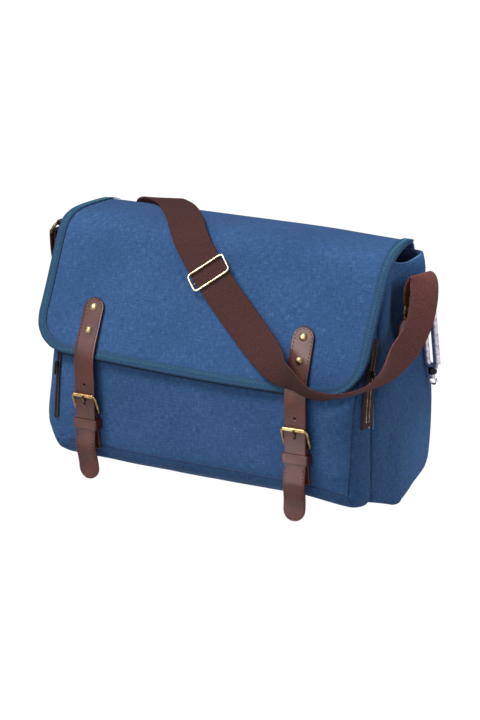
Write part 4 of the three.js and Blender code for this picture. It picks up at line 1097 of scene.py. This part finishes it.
# The slider's frame lies over the webbing and its middle bar under it
SLIDER = {"wire": 1.15 * MM, "corner": 3.6 * MM, "bar": 1.1 * MM, "frame_in": 1.55 * MM, "bar_in": 1.2 * MM}
middle, (long, short, thin), sizes = seat("strap_slider")
out, across = towards(thin, OUT), towards(long, TO_RIGHT)
up = out.cross(across)
width, height, thick = sizes
wire = SLIDER["wire"]
bm = bent_wire(width - 2 * wire, height - 2 * wire, SLIDER["corner"], wire)
put(bm, across, up, middle + out * (thick / 2 - SLIDER["frame_in"]))
bar = bmesh.new()
end = width / 2 - 2 * wire
add_bar(bar, Vector((-end, 0, 0)), Vector((end, 0, 0)), SLIDER["bar"])
put(bar, across, up, middle - out * (thick / 2 - SLIDER["bar_in"]))
add_mesh(bm, bar)
piece("brass_slider", finished(bm), [PALE_BRASS], "brass", "strap_slider")

# A domed rivet cap with a flat brim: shares of its radius and height, from the middle out
RIVET_PROFILE = ((0, 1), (0.35, 0.95), (0.62, 0.78), (0.8, 0.5), (0.86, 0.3), (1, 0.24), (1, 0))
RIVET_FACES = {"side_rivet_left": UP, "side_rivet_right": TO_RIGHT}
for node in [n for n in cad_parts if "rivet" in n]:
    middle, (_, _, thin), sizes = seat(node)
    out = towards(thin, RIVET_FACES.get(node, OUT))
    radius, height = sizes[0] / 2, sizes[2]
    bm = bmesh.new()
    line = [bm.verts.new((r * radius, 0, (h - 0.5) * height)) for r, h in RIVET_PROFILE]
    edges = [bm.edges.new(pair) for pair in zip(line, line[1:])]
    bmesh.ops.spin(bm, geom=edges, cent=(0, 0, 0), axis=UP, angle=math.tau, steps=24, use_merge=True)
    closed(bm)
    turn = out.to_track_quat("Z", "Y").to_matrix().to_4x4()
    bmesh.ops.transform(bm, matrix=Matrix.Translation(middle) @ turn, verts=bm.verts)
    piece("brass_" + node, finished(bm), [RIVET_BRASS], "brass", node)


def cast(node, name, material, slot, edge, size=1.0):
    """A cast metal piece with its edges broken, drawn in about its middle where it looks smaller."""
    bm = merged(node)
    middle = sum(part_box(node), Vector()) / 2
    bmesh.ops.scale(bm, vec=(size, size, size), space=Matrix.Translation(-middle), verts=bm.verts)
    bmesh.ops.dissolve_limit(bm, angle_limit=LEVEL, verts=bm.verts, edges=bm.edges)
    sharp = [e for e in bm.edges if e.is_manifold and e.calc_face_angle(0) > CAST_EDGE]
    bmesh.ops.bevel(bm, geom=sharp, offset=edge, segments=2, profile=0.5, affect="EDGES", material=-1)
    return piece(name, finished(bm), [material], slot, node)


for side in ("left", "right"):
    cast("buckle_prong_" + side, "brass_prong_" + side, DARK_BRASS, "brass", edge=0.3 * MM)
    cast("zip_slider_" + side, "brass_zip_slider_" + side, DARK_STEEL, "brass", edge=0.2 * MM, size=0.65)

# Snap hook: a flat closed loop with a dark collar, a swivel and an eye below it

HOOK = {"length": 76 * MM, "width": 19 * MM, "limb": 8 * MM, "thick": 3.8 * MM, "bend": 0.48}
SWIVEL = {"length": 9 * MM, "radius": 2.2 * MM}
EYE = {"across": 7.2 * MM, "corner": 3.5 * MM, "wire": 1.0 * MM, "drop": 11.6 * MM}
COLLAR = {"radius": 4.4 * MM, "above": 3 * MM, "below": 4 * MM}
middle, (long, wide, _), sizes = seat("snap_hook")
up = towards(long, UP).lerp(UP, 0.5).normalized()
across = towards(wide, TO_RIGHT)
across = (across - up * up.dot(across)).normalized()
loop_middle = middle + up * (sizes[0] - HOOK["length"]) / 2
limb, foot = HOOK["limb"], -HOOK["length"] / 2
width = HOOK["width"] - limb
bm = bent_wire(width, HOOK["length"] - limb, width * HOOK["bend"], limb / 2)
bmesh.ops.scale(bm, vec=(1, 1, HOOK["thick"] / limb), verts=bm.verts)
add_bar(bm, Vector((0, foot, 0)), Vector((0, foot - SWIVEL["length"], 0)), SWIVEL["radius"])
eye = bent_wire(EYE["across"], EYE["across"], EYE["corner"], EYE["wire"])
bmesh.ops.translate(eye, verts=eye.verts, vec=(0, foot - EYE["drop"], 0))
add_mesh(bm, eye)
put(bm, across, up, loop_middle)
piece("nickel_snap_hook", finished(bm), [NICKEL], "nickel", "snap_hook")
bm = bmesh.new()
add_bar(bm, Vector((0, foot + COLLAR["above"], 0)), Vector((0, foot - COLLAR["below"], 0)), COLLAR["radius"])
put(bm, across, up, loop_middle)
piece("hook_collar", finished(bm), [DARK_STEEL], "nickel")

# Stage: a pale floor that glows like a light table, broad lights from the left and the front, white surround

floor_material, floor_tree, floor_shader = new_material("Light_table_white", {
    "Base Color": linear("#202020"), "Roughness": 0.9, "Specular IOR Level": 0.0,
    "Emission Color": (1, 1, 1, 1),
})
seen = shade(floor_tree, "ShaderNodeLightPath").outputs
bright = shade(floor_tree, "ShaderNodeMath", {
    "operation": "MAXIMUM",
}, _0=seen["Is Camera Ray"], _1=seen["Is Glossy Ray"]).outputs["Value"]
glow = shade(floor_tree, "ShaderNodeMapRange", {"To Min": 0.5, "To Max": 1.0}, Value=bright)
floor_tree.links.new(glow.outputs["Result"], floor_shader.inputs["Emission Strength"])
bm = bmesh.new()
bmesh.ops.create_grid(bm, x_segments=1, y_segments=1, size=6)
bmesh.ops.translate(bm, verts=bm.verts, vec=(0, 0, -0.3 * MM))
floor = bpy.data.objects.new("floor", bpy.data.meshes.new("floor"))
bm.to_mesh(floor.data)
bm.free()
floor.data.materials.append(floor_material)
scene.collection.objects.link(floor)

TARGET = Vector((0, 0, 120)) * MM
# Broad lights far away: azimuth, elevation, strength, and how wide each looks in degrees
for name, azimuth, elevation, energy, spread in (
    ("left_window", -32, 61, 4.25, 26),
    ("front_fill", 6, 12, 1.9, 60),
):
    sun = bpy.data.lights.new(name, "SUN")
    sun.energy = energy
    sun.angle = math.radians(spread)
    aim(bpy.data.objects.new(name, sun), TARGET + view_from(azimuth, elevation) * 3, TARGET)
# Small lights near by: place and target in millimetres, size in metres and power. A card lights the cloth,
# and a shine only shows as gloss on the leather
for name, place, target, size, energy in (
    ("strap_shine", (-178, -437, 386), (85, -60, 190), 0.15, 1.9),
    ("right_tail_shine", (55, -215, 16), (121, -95, 50), 0.03, 0.05),
    ("left_tail_shine", (-185, -215, 12), (-118, -106, 42), 0.03, 0.02),
    ("low_card", (272, 65, 8), (187, 28, 40), 0.08, 0.14),
    ("rim_card", (320, 30, 300), (190, 5, 225), 0.06, 0.16),
):
    box = bpy.data.lights.new(name, "AREA")
    box.shape = "SQUARE"
    box.size = size
    box.energy = energy
    lamp = bpy.data.objects.new(name, box)
    lamp.visible_diffuse = name.endswith("card")
    lamp.visible_camera = False
    aim(lamp, Vector(place) * MM, Vector(target) * MM)

world = bpy.data.worlds.new("surround")
world.use_nodes = True
sky = world.node_tree
backdrop = sky.nodes["Background"]
backdrop.inputs["Color"].default_value = (1, 1, 1, 1)
rays = shade(sky, "ShaderNodeLightPath").outputs["Is Camera Ray"]
strength = shade(sky, "ShaderNodeMapRange", {"To Min": 0.22, "To Max": 1.05}, Value=rays)
sky.links.new(strength.outputs["Result"], backdrop.inputs["Strength"])
scene.world = world
scene.view_settings.view_transform = "Standard"
